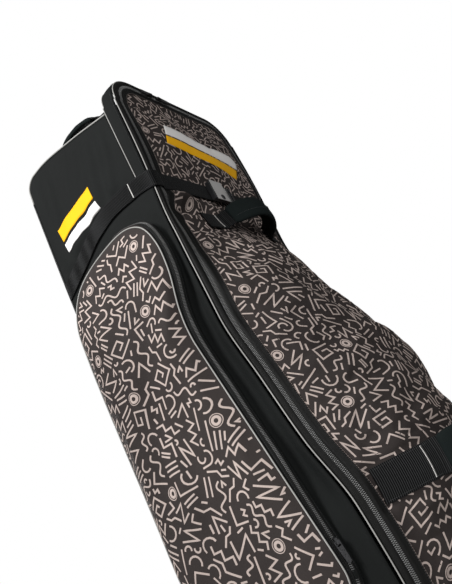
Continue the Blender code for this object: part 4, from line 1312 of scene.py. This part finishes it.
def build_head_and_back():
    columns = np.sin(np.linspace(-0.5, 0.5, 75) * math.pi)
    points = np.array([head_back_path(share * 0.9992, (46, 14, 190)) for share in columns])
    points = points.transpose(1, 0, 2)
    x, y, z = points[..., 0], points[..., 1], points[..., 2]
    edge = 1 - np.abs(x) / half_width(z)
    free = rise(0.02, 0.22, edge)
    normal = grid_normals(points)
    normal *= outward_sign(points, normal, MIDDLE)
    fold = 0.0022 * ripple(x, z + y, 7.0, 4.0, 51) + 0.0008 * ripple(x, z + y, 20.0, 10.0, 52)
    head = rise(-0.105, -0.07, y) * rise(1.20, 1.24, z)
    beside_handle = rise(0.026, 0.045, np.abs(x + 0.138))
    back = (1 - rise(1.13, 1.20, z)) * rise(0.09, 0.16, z)
    clear = rise(0.020, 0.034, np.abs(z - strap_side_z(BACK_Y)))
    rail = rise(0.016, 0.030, np.abs(np.abs(x) - 0.111)) * np.ones_like(z)
    rail = np.where(z > 0.50, 1.0, rail)
    fold = fold * free * (head * beside_handle + back * clear * rail) - 0.0006 * back * (1 - clear)
    points = points + normal * fold[..., None]
    cloth = panel("head_and_back_cloth", points, CLOTH * 0.8, BLACK, "shell", lining=LINING)
    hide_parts("head_panel", "back_panel")
    for prefix, side in (("left", -1), ("right", 1)):
        path = head_back_path(side * 0.9995, (60, 24, 120))
        path = path + np.array((side * 0.0006, 0.0, 0.0))
        up = (side, 0.0, 0.0)
        tube(prefix + "_top_piping", path[:86], up, 0.0016, PIPING, "shell")
        tube(prefix + "_back_piping", path[85:], up, 0.0019, BLACK_PIPING, "shell")
        seam = head_back_path(side * 0.972, (60, 24, 120))
        stitches(prefix + "_back_stitch", seam[84:] + np.array((0.0, 0.0004, 0.0)), (0, 1, 0), "shell")


def build_sill():
    rows, columns = 26, 90
    z = np.linspace(TRAY_RIM_Z + SEAM, LID_CLOTH_LOW_Z - 0.0006, rows)[:, None] * np.ones((1, columns))
    share = np.linspace(-1.0, 1.0, columns)[None, :] * np.ones((rows, 1))
    x = share * half_width(z)
    swell = 0.0016 * np.sin((z - z[0, 0]) / (z[-1, 0] - z[0, 0]) * math.pi) * (1 - share ** 6)
    swell = swell + 0.0006 * ripple(x, z, 16.0, 6.0, 55) * (1 - share ** 6)
    points = np.stack((x, edge_y(z) - swell, z), axis=-1)
    sill = panel("sill_cloth", points, CLOTH * 0.8, BLACK, "shell", lining=LINING)
    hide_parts("front_sill")
    across = np.linspace(-1.0, 1.0, 120)
    z_seam = LID_CLOTH_LOW_Z - 0.0015
    path = np.stack((across * half_width(z_seam), np.full(120, edge_y(z_seam)), np.full(120, z_seam)),
        axis=-1)
    section = [
        (-0.0070, 0.0), (-0.0068, 0.0008), (-0.0030, 0.0014), (0.0030, 0.0014), (0.0068, 0.0008),
        (0.0070, 0.0),
        (0.0060, -0.0010), (-0.0060, -0.0010),
    ]
    tape = section_sweep("hinge_tape", path, (0, -1, 0), section, TAPE, None)
    across_hinge(tape)
    for name, rise_by in (("hinge_stitch_low", -0.0052), ("hinge_stitch_high", 0.0052)):
        line = path + np.array((0.0, -0.0012, rise_by))
        across_hinge(stitches(name, line, (0, -1, 0), None))


# ---------------------------------------------------------------- side pockets
def gusset_point(side, turn, share, lift=0.0):
    """On the pocket's slanted wall: share 0 at the side panel, 1 at the face."""
    turn = np.asarray(turn, float)
    rim = pocket_rim(pocket_outline(turn)[..., 0])
    uneven = 1 + 0.60 * ripple(turn * 1.9, share * 0.0, 10.0, 0.0, 81)
    place = pocket_outline(turn)
    uneven = uneven * (1 - 0.85 * hill(place[..., 1], 0.355, 0.050) * (place[..., 0] < 0.0))
    swell = 0.0042 * uneven * np.sin(np.pi * np.clip(share, 0.0, 1.0)) + lift
    flare = POCKET_FLARE * (1 - share) + swell * 0.75
    off = POCKET_FOOT + share * (rim - POCKET_FOOT) + swell * 0.45
    return pocket_point(side, turn, flare + np.zeros_like(turn), off)


def build_pocket(prefix, side, seed):
    middle = (side * 0.19, POCKET_CENTRE[0], POCKET_CENTRE[1])
    turns = np.linspace(0.0, 1.0, 300, endpoint=False)
    shares = np.linspace(0.0, 1.0, 11)
    wall = np.array([gusset_point(side, turns, np.full(len(turns), share)) for share in shares])
    gusset = panel(
        prefix + "_pocket_wall", wall, 0.0016, BLACK, "shell", middle=middle, wrap=True,
    )
    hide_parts(prefix + "_pocket_gusset")
    outline = pocket_outline(turns)
    rows = []
    for reach in np.linspace(0.02, 1.014, 46):
        spot = POCKET_CENTRE + (outline - POCKET_CENTRE) * reach
        rows.append(pocket_surface(side, spot[:, 0], spot[:, 1], seed))
    rows = np.array(rows)
    face = panel(
        prefix + "_pocket_cloth", rows, 0.0016, GROUND, "shell", middle=middle, wrap=True,
        uv=rows[..., 1:],
    )
    close_hole(face, len(turns), len(rows))
    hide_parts(prefix + "_pocket_face")
    rim = pocket_rim(pocket_outline(turns)[:, 0])
    edge = pocket_point(side, turns, np.full(len(turns), 0.0007), rim + 0.0029)
    out = (side, 0.0, 0.0)
    piping = tube(prefix + "_pocket_edge_piping", edge, out, 0.0012, PIPING, "shell", closed=True)
    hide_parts(prefix + "_pocket_piping")
    fine = np.linspace(-0.06, 0.60, 3000)
    for name, share in (("front_coil", 0.47), ("rear_coil", 0.60)):
        row = gusset_point(side, fine, np.full(len(fine), share), 0.0002)
        spots, tangents, along = resample(row, COIL_PITCH)
        turn = fine[0] + along * (fine[-1] - fine[0])
        across = (gusset_point(side, turn, np.full(len(turn), share + 0.1))
                  - gusset_point(side, turn, np.full(len(turn), share)))
        beads(
            prefix + "_pocket_" + name, spots, across, np.cross(tangents, across), 0.0018, 0.00078, COIL,
            "shell", 1.1,
        )
    for name, share in (("outer_seam", 0.18), ("inner_seam", 0.84)):
        path = gusset_point(side, fine, np.full(len(fine), share), 0.0003)
        stitches(prefix + "_pocket_" + name, path, out, "shell", thick=0.00034)
    section = [(-0.0016, 0.0), (-0.0012, 0.0008), (0.0, 0.0012), (0.0012, 0.0008), (0.0016, 0.0),
        (0.0, -0.0006)]
    for name, share in (("zip_fold_front", 0.36), ("zip_fold_rear", 0.71)):
        path = gusset_point(side, fine[::6], np.full(len(fine[::6]), share), 0.0001)
        section_sweep(prefix + "_pocket_" + name, path, out, section, TAPE, "shell")


def close_hole(piece, around, rows):
    """Fill the small hole in the middle of a round panel, on both faces."""
    mesh = bmesh.new()
    mesh.from_mesh(piece.data)
    mesh.verts.ensure_lookup_table()
    outer = [mesh.verts[k] for k in range(around)]
    inner = [mesh.verts[k + around * rows] for k in range(around)]
    walls = [face for face in outer[0].link_faces if any(v in inner for v in face.verts)]
    doomed = {face for vertex in outer for face in vertex.link_faces if any(v in inner for v in face.verts)}
    if walls:
        bmesh.ops.delete(mesh, geom=list(doomed), context="FACES")
    mesh.faces.new(outer)
    mesh.faces.new(inner)
    bmesh.ops.recalc_face_normals(mesh, faces=mesh.faces)
    mesh.to_mesh(piece.data)
    mesh.free()
    piece.data.shade_smooth()


# ---------------------------------------------------------------- straps
def build_side_strap(prefix, side):
    lift = 0.0012
    girth = side * (half_girth(STRAP_Z) - COIL_INSET + SEAM)
    coil = on_front(girth, STRAP_Z)
    edge = edge_y(STRAP_Z)
    wide = half_width(STRAP_Z)
    knots = np.array([
        (coil[0], coil[1] - 0.0042), (side * (wide - 0.008), edge - 0.0042),
        (side * (wide - 0.001), edge - 0.0026),
        (side * (wide + lift), edge + 0.002), (side * (wide + lift), edge + 0.012),
    ] + [(side * (wide + lift), y) for y in np.linspace(-0.10, BACK_Y - 0.008, 9)] + [
        (side * (wide + lift * 0.6), BACK_Y - 0.001), (side * (wide - 0.005), BACK_Y + lift),
        (side * 0.15, BACK_Y + lift), (side * 0.10, BACK_Y + lift), (side * 0.05, BACK_Y + lift),
        (side * SEAM, BACK_Y + lift),
    ])
    run = np.concatenate(([0.0], np.cumsum(np.hypot(*np.diff(knots, axis=0).T))))
    x_at = smooth_profile(run, knots[:, 0])
    y_at = smooth_profile(run, knots[:, 1])

    def place(at, across, height):
        ahead = np.stack((x_at(at + 0.001) - x_at(at - 0.001), y_at(at + 0.001) - y_at(at - 0.001)),
            axis=-1)
        ahead = unit(ahead)
        out = np.stack((ahead[:, 1], -ahead[:, 0]), axis=-1) * side
        sag = 0.0006 * np.sin(at * 90.0) * (across / STRAP_WIDTH)
        x = x_at(at) + out[:, 0] * (height + sag)
        y = y_at(at) + out[:, 1] * (height + sag)
        return np.stack((x, y, strap_side_z(y_at(at)) + across), axis=-1)

    strap = ribbed_strap(prefix + "_cinch_webbing", run[-1], place, STRAP_WIDTH, "shell")
    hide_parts(prefix + "_side_strap")
    tack_run = float(np.interp(-0.090, knots[3:14, 1], run[3:14]))
    bar_tack(prefix + "_cinch_tack", place, tack_run, STRAP_WIDTH, "shell")
    for name, across in (("upper", 0.0150), ("lower", -0.0150)):
        at = np.arange(0.012, tack_run, 0.001)
        path = place(at, across, WEBBING + 0.0003)
        stitches(prefix + "_cinch_stitch_" + name, path, (side, 0.0, 0.0), "shell", thick=0.0003)


def lid_webbing_place(low_girth, z, lift):
    """place(run, across, height) for webbing over the lid, flat on it where it lies low."""
    def place(run, across, height):
        run = np.asarray(run, float)
        girth = low_girth + run
        height = height + np.zeros_like(run)
        rises = lift(run)
        flat = on_front(girth, np.full_like(girth, z + across), rises + height)
        middle = on_front(girth, np.full_like(girth, z), rises)
        normal = front_normal(middle[:, 0], middle[:, 2])
        along_face = unit(np.cross(normal, np.array((1.0, 0.0, 0.0))))
        along_face = along_face * np.sign(along_face[:, 2:3])
        ahead = on_front(girth + 0.002, np.full_like(girth, z), lift(run + 0.002))
        behind = on_front(girth - 0.002, np.full_like(girth, z), lift(run - 0.002))
        tangent = unit(ahead - behind)
        out = unit(np.cross(along_face, tangent))
        out = out * np.sign(np.sum(out * normal, axis=1, keepdims=True))
        tilted = middle + along_face * across + out * height[:, None]
        free = rise(0.003, 0.012, rises)[:, None]
        return flat * (1 - free) + tilted * free

    return place


def build_lid_straps():
    seam_girth = half_girth(STRAP_Z) - COIL_INSET - SEAM

    def flat(run):
        return 0.0022 + np.zeros_like(run)

    for name, low, high in (("left", -seam_girth, -0.026), ("right", 0.018, seam_girth)):
        place = lid_webbing_place(low, STRAP_Z, flat)
        strap = ribbed_strap("lid_cinch_" + name, high - low, place, STRAP_WIDTH, "lid")
        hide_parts("lid_strap_" + name)
    place = lid_webbing_place(0.018, STRAP_Z, flat)
    for k, run in enumerate((0.018, 0.024)):
        bar_tack("lid_cinch_tack_%d" % k, place, run, STRAP_WIDTH, "lid")


def handle_lift(length, start, end, height):
    def lift(run):
        share = np.asarray(run, float) / length
        turn = np.clip((share - start) / (end - start), 0.0, 1.0)
        return REST_GAP + height * np.sin(math.pi * turn) ** 0.8

    return lift


def padded_grip(name, place, low_run, high_run, width, thick, body, node, rings=90):
    """A stuffed wrap round the webbing, drawn in at both ends and along its closing flap."""
    run = np.linspace(low_run, high_run, rings)
    share = np.linspace(-1.0, 1.0, rings)
    ends = 0.74 + 0.26 * np.sqrt(np.maximum(1 - np.abs(share) ** 9, 0.0))
    puff = 1 + 0.05 * ripple(share, share * 0, 1.6, 0.0, len(name))
    turn = np.linspace(0, 2 * math.pi, 32, endpoint=False)
    columns = []
    for a in turn:
        across = math.copysign(abs(math.cos(a)) ** 0.62, math.cos(a)) * width / 2
        high = math.copysign(abs(math.sin(a)) ** 0.72, math.sin(a)) * thick / 2
        flap = 0.0007 if high > 0 and across > -0.16 * width else 0.0
        centre = place(run, 0.0, WEBBING / 2)
        out = unit(place(run, 0.0, 0.004) - place(run, 0.0, 0.0))
        side = unit(place(run, 0.004, 0.0) - place(run, -0.004, 0.0))
        columns.append(centre + side * (across * ends)[:, None]
                       + out * ((high + flap) * ends * puff)[:, None])
    grip = loft(name, np.stack(columns, axis=1), GRIP, body)
    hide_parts(node)
    top = thick / 2 + WEBBING / 2
    for label, across in (("flap", -0.20 * width), ("edge", 0.40 * width)):
        height = top * (0.97 if label == "flap" else 0.70)
        line = place(run[3:-3], across, height + 0.0002)
        out = place(run[3:-3], 0.0, 0.01) - place(run[3:-3], 0.0, 0.0)
        points, tangents, along = resample(line, STITCH_PITCH)
        ups = np.stack([np.interp(along, np.linspace(0, 1, len(out)), out[:, k]) for k in range(3)],
            axis=-1)
        beads(name + "_" + label + "_stitch", points, tangents, ups, 0.0013, 0.0004, THREAD, body,
            0.8)
    return grip


def build_carry_handle(prefix, z, low_girth, high_girth, width, start, end, height, tack_runs):
    length = high_girth - low_girth
    lift = handle_lift(length, start, end, height)
    place = lid_webbing_place(low_girth, z, lift)
    webbing = ribbed_strap(prefix + "_carry_webbing", length, place, width, "lid")
    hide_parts(prefix + "_handle_webbing")
    trim = 0.007 if prefix == "lower" else 0.08 * (end - start) * length
    padded_grip(
        prefix + "_carry_grip", place, start * length + trim, end * length - trim,
        width + 0.010, 0.0115, "lid", prefix + "_handle_grip",
    )
    for k, run in enumerate(tack_runs):
        bar_tack("%s_carry_tack_%d" % (prefix, k), place, run, width, "lid")
    for k, (a, b) in enumerate(((0.004, start * length - 0.004), (end * length + 0.004, length - 0.004))):
        for name, across in (("upper", width * 0.43), ("lower", -width * 0.43)):
            path = place(np.arange(a, b, 0.001), across, WEBBING + 0.0003)
            label = "%s_carry_stitch_%s_%d" % (prefix, name, k)
            stitches(label, path, (0.0, -1.0, 0.0), "lid", thick=0.0003)


def build_head_handle():
    x, low_y, length, width = -0.138, -0.092, 0.190, 0.032

    def bump(run):
        turn = np.clip((np.asarray(run) / length - 0.12) / 0.76, 0.0, 1.0)
        return 0.022 * np.sin(math.pi * turn) ** 0.8

    def place(run, across, height):
        run = np.asarray(run, float)
        y = low_y + run
        level_y = (y + (low_y + 0.5 * length - y) * rise(0.10, 0.30, run / length)
                   * rise(0.10, 0.30, 1 - run / length))
        tilt = head_z(x + 0.01, level_y) - head_z(x - 0.01, level_y)
        z = head_z(x, y) + 0.0020 + bump(run) + height + across * tilt / 0.02
        return np.stack((np.full_like(y, x + across) - height * tilt / 0.02, y, z), axis=-1)

    webbing = ribbed_strap("head_grab_webbing", length, place, width, "shell")
    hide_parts("head_handle_webbing")
    padded_grip("head_grab_grip", place, 0.25 * length, 0.75 * length, width + 0.007, 0.0130, "shell",
        "head_handle_grip", 60)
    for k, run in enumerate((0.008, 0.182)):
        bar_tack("head_grab_tack_%d" % k, place, run, width, "shell", material=THREAD)


def build_club_straps():
    """Webbing inside, sewn to the back, that holds the golf bag."""
    wall = BACK_Y - CLOTH - 0.0008
    for prefix, z in (("lower", 0.42), ("upper", 0.80)):
        for end, low, high in (("left", -0.150, -0.020), ("right", 0.018, 0.150)):
            def place(run, across, height, low=low, z=z):
                run = np.asarray(run, float)
                y = wall - WEBBING + 0.0004 - (height - WEBBING) * 0.8 + 0.0 * run
                return np.stack((low + run, np.minimum(y, wall), np.full_like(run, z + across)), axis=-1)

            name = "%s_club_strap_%s" % (prefix, end)
            strap = ribbed_strap("%s_hold_down_%s" % (prefix, end), high - low, place, 0.025, "shell")
            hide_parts(name)


# ---------------------------------------------------------------- head padding
def build_head_pads():
    """Foam pads round the club heads, swollen by a short cloth simulation."""
    for name, quilts in (("left_head_pad", 3), ("right_head_pad", 3), ("back_head_pad", 5)):
        low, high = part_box(name)
        low, high = np.array(low), np.array(high)
        thin = int(np.argmin(high - low))
        low[thin] += 0.0022
        high[thin] -= 0.0022
        mesh = bmesh.new()
        bmesh.ops.create_cube(mesh, size=1.0)
        for vertex in mesh.verts:
            vertex.co = Vector(low + (np.array(vertex.co) + 0.5) * (high - low))
        bmesh.ops.bevel(mesh, geom=mesh.edges[:], offset=0.0028, segments=2, affect="EDGES")
        data = bpy.data.meshes.new(name + "_cushion")
        mesh.to_mesh(data)
        mesh.free()
        pad = bpy.data.objects.new(name + "_cushion", data)
        bpy.context.scene.collection.objects.link(pad)
        remesh = pad.modifiers.new("voxels", "REMESH")
        remesh.mode = "VOXEL"
        remesh.voxel_size = 0.0050
        apply_modifiers(pad)
        swell(pad, 0.0022)
        wide = 1 - thin if thin < 2 else 0
        start = np.zeros(len(pad.data.vertices) * 3)
        pad.data.vertices.foreach_get("co", start)
        spots = start.reshape(-1, 3)
        centre = (low + high) / 2
        half = (high - low) / 2
        share = (spots - centre) / half
        across = (share[:, wide] + 1) / 2 * quilts
        seam = np.exp(-((np.abs(across - np.round(across)) * 2 * half[wide] / quilts) / 0.0045) ** 2)
        seam *= (np.round(across) > 0) & (np.round(across) < quilts)
        rim = np.maximum(np.abs(share[:, wide]), np.abs(share[:, 2])) ** 6
        squeeze = np.clip(0.42 * seam + 0.25 * rim, 0.0, 0.8)
        spots[:, thin] = centre[thin] + (spots[:, thin] - centre[thin]) * (1 - squeeze)
        spots = np.clip(spots, low - 0.0018, high + 0.0018)
        pad.data.vertices.foreach_set("co", spots.ravel())
        smooth = pad.modifiers.new("one subdivision", "SUBSURF")
        smooth.levels = 1
        smooth.render_levels = 1
        apply_modifiers(pad)
        pad.data.materials.clear()
        pad.data.materials.append(FOAM)
        pad.data.shade_smooth()
        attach(pad, "shell")
        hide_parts(name)


def apply_modifiers(piece):
    evaluated = piece.evaluated_get(bpy.context.evaluated_depsgraph_get())
    mesh = bpy.data.meshes.new_from_object(evaluated)
    piece.modifiers.clear()
    piece.data = mesh


def swell(piece, limit):
    """Blow a closed mesh up a little with cloth pressure, then keep the shape."""
    before = np.zeros(len(piece.data.vertices) * 3)
    piece.data.vertices.foreach_get("co", before)
    cloth = piece.modifiers.new("cloth", "CLOTH")
    cloth.settings.use_pressure = True
    cloth.settings.uniform_pressure_force = 4.0
    cloth.settings.effector_weights.gravity = 0.0
    cloth.collision_settings.use_collision = False
    for number in range(1, 21):
        bpy.context.scene.frame_set(number)
    apply_modifiers(piece)
    after = np.zeros(len(piece.data.vertices) * 3)
    piece.data.vertices.foreach_get("co", after)
    bpy.context.scene.frame_set(1)
    move = (after - before).reshape(-1, 3)
    distance = np.linalg.norm(move, axis=1, keepdims=True)
    move = move * np.minimum(1.0, limit / np.maximum(distance, 1e-9))
    piece.data.vertices.foreach_set("co", (before + move.ravel()).ravel())


# ---------------------------------------------------------------- hard parts
def finish_nodes(material, *names, bevel=0.0):
    """Give CAD solids whose shape is right a better material and softer edges."""
    for name in names:
        node = NODES[name]
        node.data.materials.clear()
        node.data.materials.append(material)
        if bevel:
            edge = node.modifiers.new("soft edges", "BEVEL")
            edge.width = bevel
            edge.segments = 2
            edge.limit_method = "ANGLE"
            edge.angle_limit = math.radians(40)


def disc_stack(name, centre, axis, profile, material, body, sides=28):
    """A turned part: profile is (distance along the axis, radius), closed at both ends."""
    axis = unit(np.array(axis, float))
    up = np.array((0.0, 0.0, 1.0)) if abs(axis[2]) < 0.9 else np.array((1.0, 0.0, 0.0))
    rising = unit(up - np.dot(up, axis) * axis)
    across = np.cross(axis, rising)
    ring = circle(1.0, sides)
    rings = [
        np.array(centre) + axis * along + radius * (ring[:, :1] * across + ring[:, 1:] * rising)
        for along, radius in profile
    ]
    return loft(name, rings, material, body)


def screw(name, centre, axis, body, radius=0.0038):
    """A dome-headed screw with a socket in its head."""
    disc_stack(name, centre, axis, [
        (-0.0006, radius), (0.0004, radius), (0.0010, radius * 0.86), (0.0014, radius * 0.60),
        (0.0015, radius * 0.42), (0.0005, radius * 0.38), (0.0004, radius * 0.05),
    ], STEEL, body, 20)


TRAY_RIB = [(-0.0013, -0.0006), (-0.0013, 0.0007), (-0.0008, 0.0013), (0.0008, 0.0013), (0.0013, 0.0007),
    (0.0013, -0.0006)]


def build_tray_details():
    """Ribs, a rolled rim and the screws that hold the tray to the cloth."""
    reach_x, front, back, corner = 0.165, -0.171, 0.084, 0.006
    turn = np.linspace(0.0, math.pi / 2, 7)[:, None]
    bend = corner * np.concatenate((np.cos(turn), np.sin(turn)), axis=1)
    right = np.concatenate(([(reach_x, back)],
        (np.array((reach_x - corner, front + corner)) + bend * (1, -1))))
    outline = np.concatenate((right, right[::-1] * (-1, 1)))
    for k, z in enumerate((0.017, 0.029, 0.041, 0.053)):
        path = np.concatenate((outline, np.full((len(outline), 1), z)), axis=1)
        tangent = unit(np.gradient(path, axis=0))
        out = np.stack((tangent[:, 1], -tangent[:, 0], np.zeros(len(path))), axis=-1)
        out *= np.sign(np.sum(out * path * (1, 1, 0), axis=1, keepdims=True))
        section_sweep("tray_rib_%d" % k, path, out, TRAY_RIB, TRAY, "shell")
    rim = np.concatenate((outline, np.full((len(outline), 1), 0.0715)), axis=1)
    tangent = unit(np.gradient(rim, axis=0))
    out = np.stack((tangent[:, 1], -tangent[:, 0], np.zeros(len(rim))), axis=-1)
    out *= np.sign(np.sum(out * rim * (1, 1, 0), axis=1, keepdims=True))
    rolled = [(-0.0030, -0.0008), (-0.0026, 0.0009), (-0.0012, 0.0018), (0.0012, 0.0018), (0.0026, 0.0009),
        (0.0030, -0.0008)]
    section_sweep("tray_rim", rim, out, rolled, TRAY, "shell")
    for k, x in enumerate((-0.13, -0.045, 0.045, 0.13)):
        screw("tray_front_screw_%d" % k, (x, front, 0.0625), (0, -1, 0), "shell")
    for prefix, side in (("left", -1), ("right", 1)):
        for k, y in enumerate((-0.12, 0.0, 0.07)):
            screw("%s_tray_screw_%d" % (prefix, k), (side * reach_x, y, 0.0625), (side, 0, 0), "shell")


def build_rails():
    """Raised lines and screws on the two skid rails at the back."""
    for prefix, side in (("left", -1), ("right", 1)):
        for k, across in enumerate((-0.0062, 0.0, 0.0062)):
            x = side * 0.111 + across
            path = np.array([(x, 0.1590, z) for z in np.linspace(0.125, 0.435, 60)])
            ridge = [(-0.0010, -0.0004), (-0.0007, 0.0007), (0.0007, 0.0007), (0.0010, -0.0004)]
            section_sweep("%s_rail_line_%d" % (prefix, k), path, (0, 1, 0), ridge, TRAY, "shell")
        for k, z in enumerate((0.112, 0.448)):
            screw("%s_rail_screw_%d" % (prefix, k), (side * 0.111, 0.1590, z), (0, 1, 0), "shell",
                0.0034)


def build_wheel_details(prefix, side):
    """Tread ribs on the tyre and spokes on the hub; all turn with the wheel."""
    body = prefix + "_wheel"
    centre = np.array((side * WHEEL_X, WHEEL_Y, WHEEL_Z))
    angle = np.linspace(0.0, 2 * math.pi, 40, endpoint=False)
    out = np.stack((np.zeros_like(angle), np.cos(angle), np.sin(angle)), axis=-1)
    for k, shift in enumerate((-0.0045, 0.0045)):
        spots = centre + out * (WHEEL_RADIUS - 0.0002) + np.array((shift, 0.0, 0.0))
        lean = np.array((1.0, 0.0, 0.0)) + 0.5 * (1 - 2 * k) * np.cross(out, (1.0, 0.0, 0.0))
        beads("%s_tread_%d" % (prefix, k), spots, lean, out, 0.0036, 0.0011, TYRE, body, 0.8, 8)
    for face in (-1, 1):
        hub_face = centre + np.array((face * 0.0060, 0.0, 0.0))
        five = np.linspace(0.0, 2 * math.pi, 5, endpoint=False)
        ray = np.stack((np.zeros(5), np.cos(five), np.sin(five)), axis=-1)
        side_name = "outer" if face * side > 0 else "inner"
        beads(
            "%s_hub_spokes_%s" % (prefix, side_name), hub_face + ray * 0.0137, ray,
            np.array((1.0, 0, 0)) + 0 * ray,
            0.0042, 0.0019, HUB, body, 0.9, 8,
        )


def build_buckle_details():
    """A dark inlay on the buckle's plate and two pale lines moulded beside it."""
    x, z, y = -0.023, 0.9835, -0.1616
    disc_stack("lid_buckle_inlay", (x, y, z), (0, -1, 0), [
        (-0.0003, 0.0062), (0.0004, 0.0062), (0.0008, 0.0054), (0.0008, 0.0042), (0.0002, 0.0036),
        (0.0002, 0.0005),
    ], BUCKLE, "lid")
    for k, line_x in enumerate((0.0035, 0.0080)):
        spots = np.array([(line_x + 0.0002 * (n % 2), -0.1570, z_at)
                          for n, z_at in enumerate(np.arange(0.983, 1.018, 0.0022))])
        beads(
            "lid_buckle_line_%d" % k, spots, np.array((0.1, 0, 1.0)) + 0 * spots,
            np.array((0, -1.0, 0)) + 0 * spots,
            0.0012, 0.0004, WHITE_THREAD, "lid_tongue",
        )


def finish_hard_parts():
    finish_nodes(TRAY, "base_tray", "left_wheel_housing", "right_wheel_housing")
    finish_nodes(TRAY, "left_skid_rail", "right_skid_rail")
    finish_nodes(BOARD, "base_board", bevel=0.0010)
    finish_nodes(BUCKLE, "lid_buckle_socket", "lid_buckle_tongue", "lower_club_buckle_socket",
                 "lower_club_buckle_tongue", "upper_club_buckle_socket", "upper_club_buckle_tongue",
                 bevel=0.0006)
    finish_nodes(HUB, "left_wheel_hub", "right_wheel_hub")
    finish_nodes(TYRE, "left_wheel_tyre", "right_wheel_tyre")
    finish_nodes(STEEL, "left_axle", "right_axle", bevel=0.0004)
    finish_nodes(PLATE, "lid_buckle_plate", bevel=0.0004)
    finish_nodes(GUNMETAL, "left_lid_slider", "right_lid_slider", "left_lid_pull", "right_lid_pull",
                 "left_pocket_slider", "right_pocket_slider", "left_pocket_pull", "right_pocket_pull",
                 bevel=0.0004)


# ---------------------------------------------------------------- light, floor and camera
# the studio's square lights: name, place and side in metres, watts
LIGHTS = (
    ("key", (-2.2, 0.7, 2.1), 0.9, 98.0),
    ("fill", (-2.1, -1.8, 1.0), 1.2, 40.0),
    ("rim", (1.3, 2.5, 1.6), 1.4, 48.0),
)


def area_light(name, place, target, size, power):
    data = bpy.data.lights.new(name, "AREA")
    data.shape = "RECTANGLE"
    data.size, data.size_y = size
    data.energy = power
    light = bpy.data.objects.new(name, data)
    bpy.context.scene.collection.objects.link(light)
    light.location = place
    light.rotation_euler = (Vector(target) - Vector(place)).to_track_quat("-Z", "Y").to_euler()


def build_studio():
    scene = bpy.context.scene
    scene.view_settings.view_transform = "Standard"
    world = bpy.data.worlds.new("studio")
    scene.world = world
    world.use_nodes = True
    background = world.node_tree.nodes["Background"]
    background.inputs["Color"].default_value = (1.0, 1.0, 1.0, 1.0)
    background.inputs["Strength"].default_value = 0.15
    middle = (0.0, 0.0, 0.75)
    for name, place, side, watts in LIGHTS:
        area_light(name, place, middle, (side, side), watts)
    build_dome()
    floor = make_piece(
        "floor", [(-7, -7, 0), (7, -7, 0), (7, 7, 0), (-7, 7, 0)], [(0, 1, 2, 3)],
        [floor_finish("pale_floor")], None,
    )
    floor.location.z = -0.0005
    floor.visible_diffuse = False


def build_dome():
    """A plain white surround that shows behind the bag and sheds no light on it."""
    mesh = bmesh.new()
    bmesh.ops.create_icosphere(mesh, subdivisions=4, radius=12.0)
    data = bpy.data.meshes.new("surround")
    mesh.to_mesh(data)
    mesh.free()
    data.shade_smooth()
    material = bpy.data.materials.new("surround_white")
    material.use_nodes = True
    nodes = material.node_tree.nodes
    nodes.remove(nodes["Principled BSDF"])
    glow = nodes.new("ShaderNodeEmission")
    glow.inputs["Color"].default_value = (1.0, 1.0, 1.0, 1.0)
    material.node_tree.links.new(glow.outputs["Emission"], nodes["Material Output"].inputs["Surface"])
    data.materials.append(material)
    dome = bpy.data.objects.new("surround", data)
    bpy.context.scene.collection.objects.link(dome)
    dome.visible_diffuse = False
    dome.visible_glossy = False
    dome.visible_transmission = False
    dome.visible_volume_scatter = False
    dome.visible_shadow = False


def build_camera():
    data = bpy.data.cameras.new("camera")
    camera = bpy.data.objects.new("camera", data)
    bpy.context.scene.collection.objects.link(camera)
    right = Vector((0.59208, -0.68383, -0.42640))
    down = Vector((0.05140, 0.56007, -0.82685))
    forward = Vector((0.80424, 0.46764, 0.36675))
    turn = Matrix((right, -down, -forward)).transposed().to_4x4()
    camera.matrix_world = Matrix.Translation((-0.930, -0.5952, 0.4075)) @ turn
    data.lens = 35.85
    data.sensor_width = 36.0
    data.clip_start = 0.01
    bpy.context.scene.camera = camera


build_studio()
build_camera()
build_lid_cloth()
build_prints()
build_marks()
build_zip()
build_sides()
build_hoop()
build_head_and_back()
build_sill()
build_pocket("left", -1, 61)
build_pocket("right", 1, 71)
build_side_strap("left", -1)
build_side_strap("right", 1)
build_lid_straps()
build_carry_handle("upper", 0.918, -0.112, 0.126, HANDLE_WEB, 0.20, 0.86, 0.052, (0.040,))
LOW_END = float(half_girth(0.390)) - TAPE_INSET - 0.006
build_carry_handle("lower", 0.390, -LOW_END, LOW_END, CARRY_WEB, 0.24, 0.76, 0.044,
    (0.079, 2 * LOW_END - 0.079))
build_head_handle()
build_club_straps()
build_head_pads()
finish_hard_parts()
build_tray_details()
build_rails()
build_wheel_details("left", -1)
build_wheel_details("right", 1)
build_buckle_details()
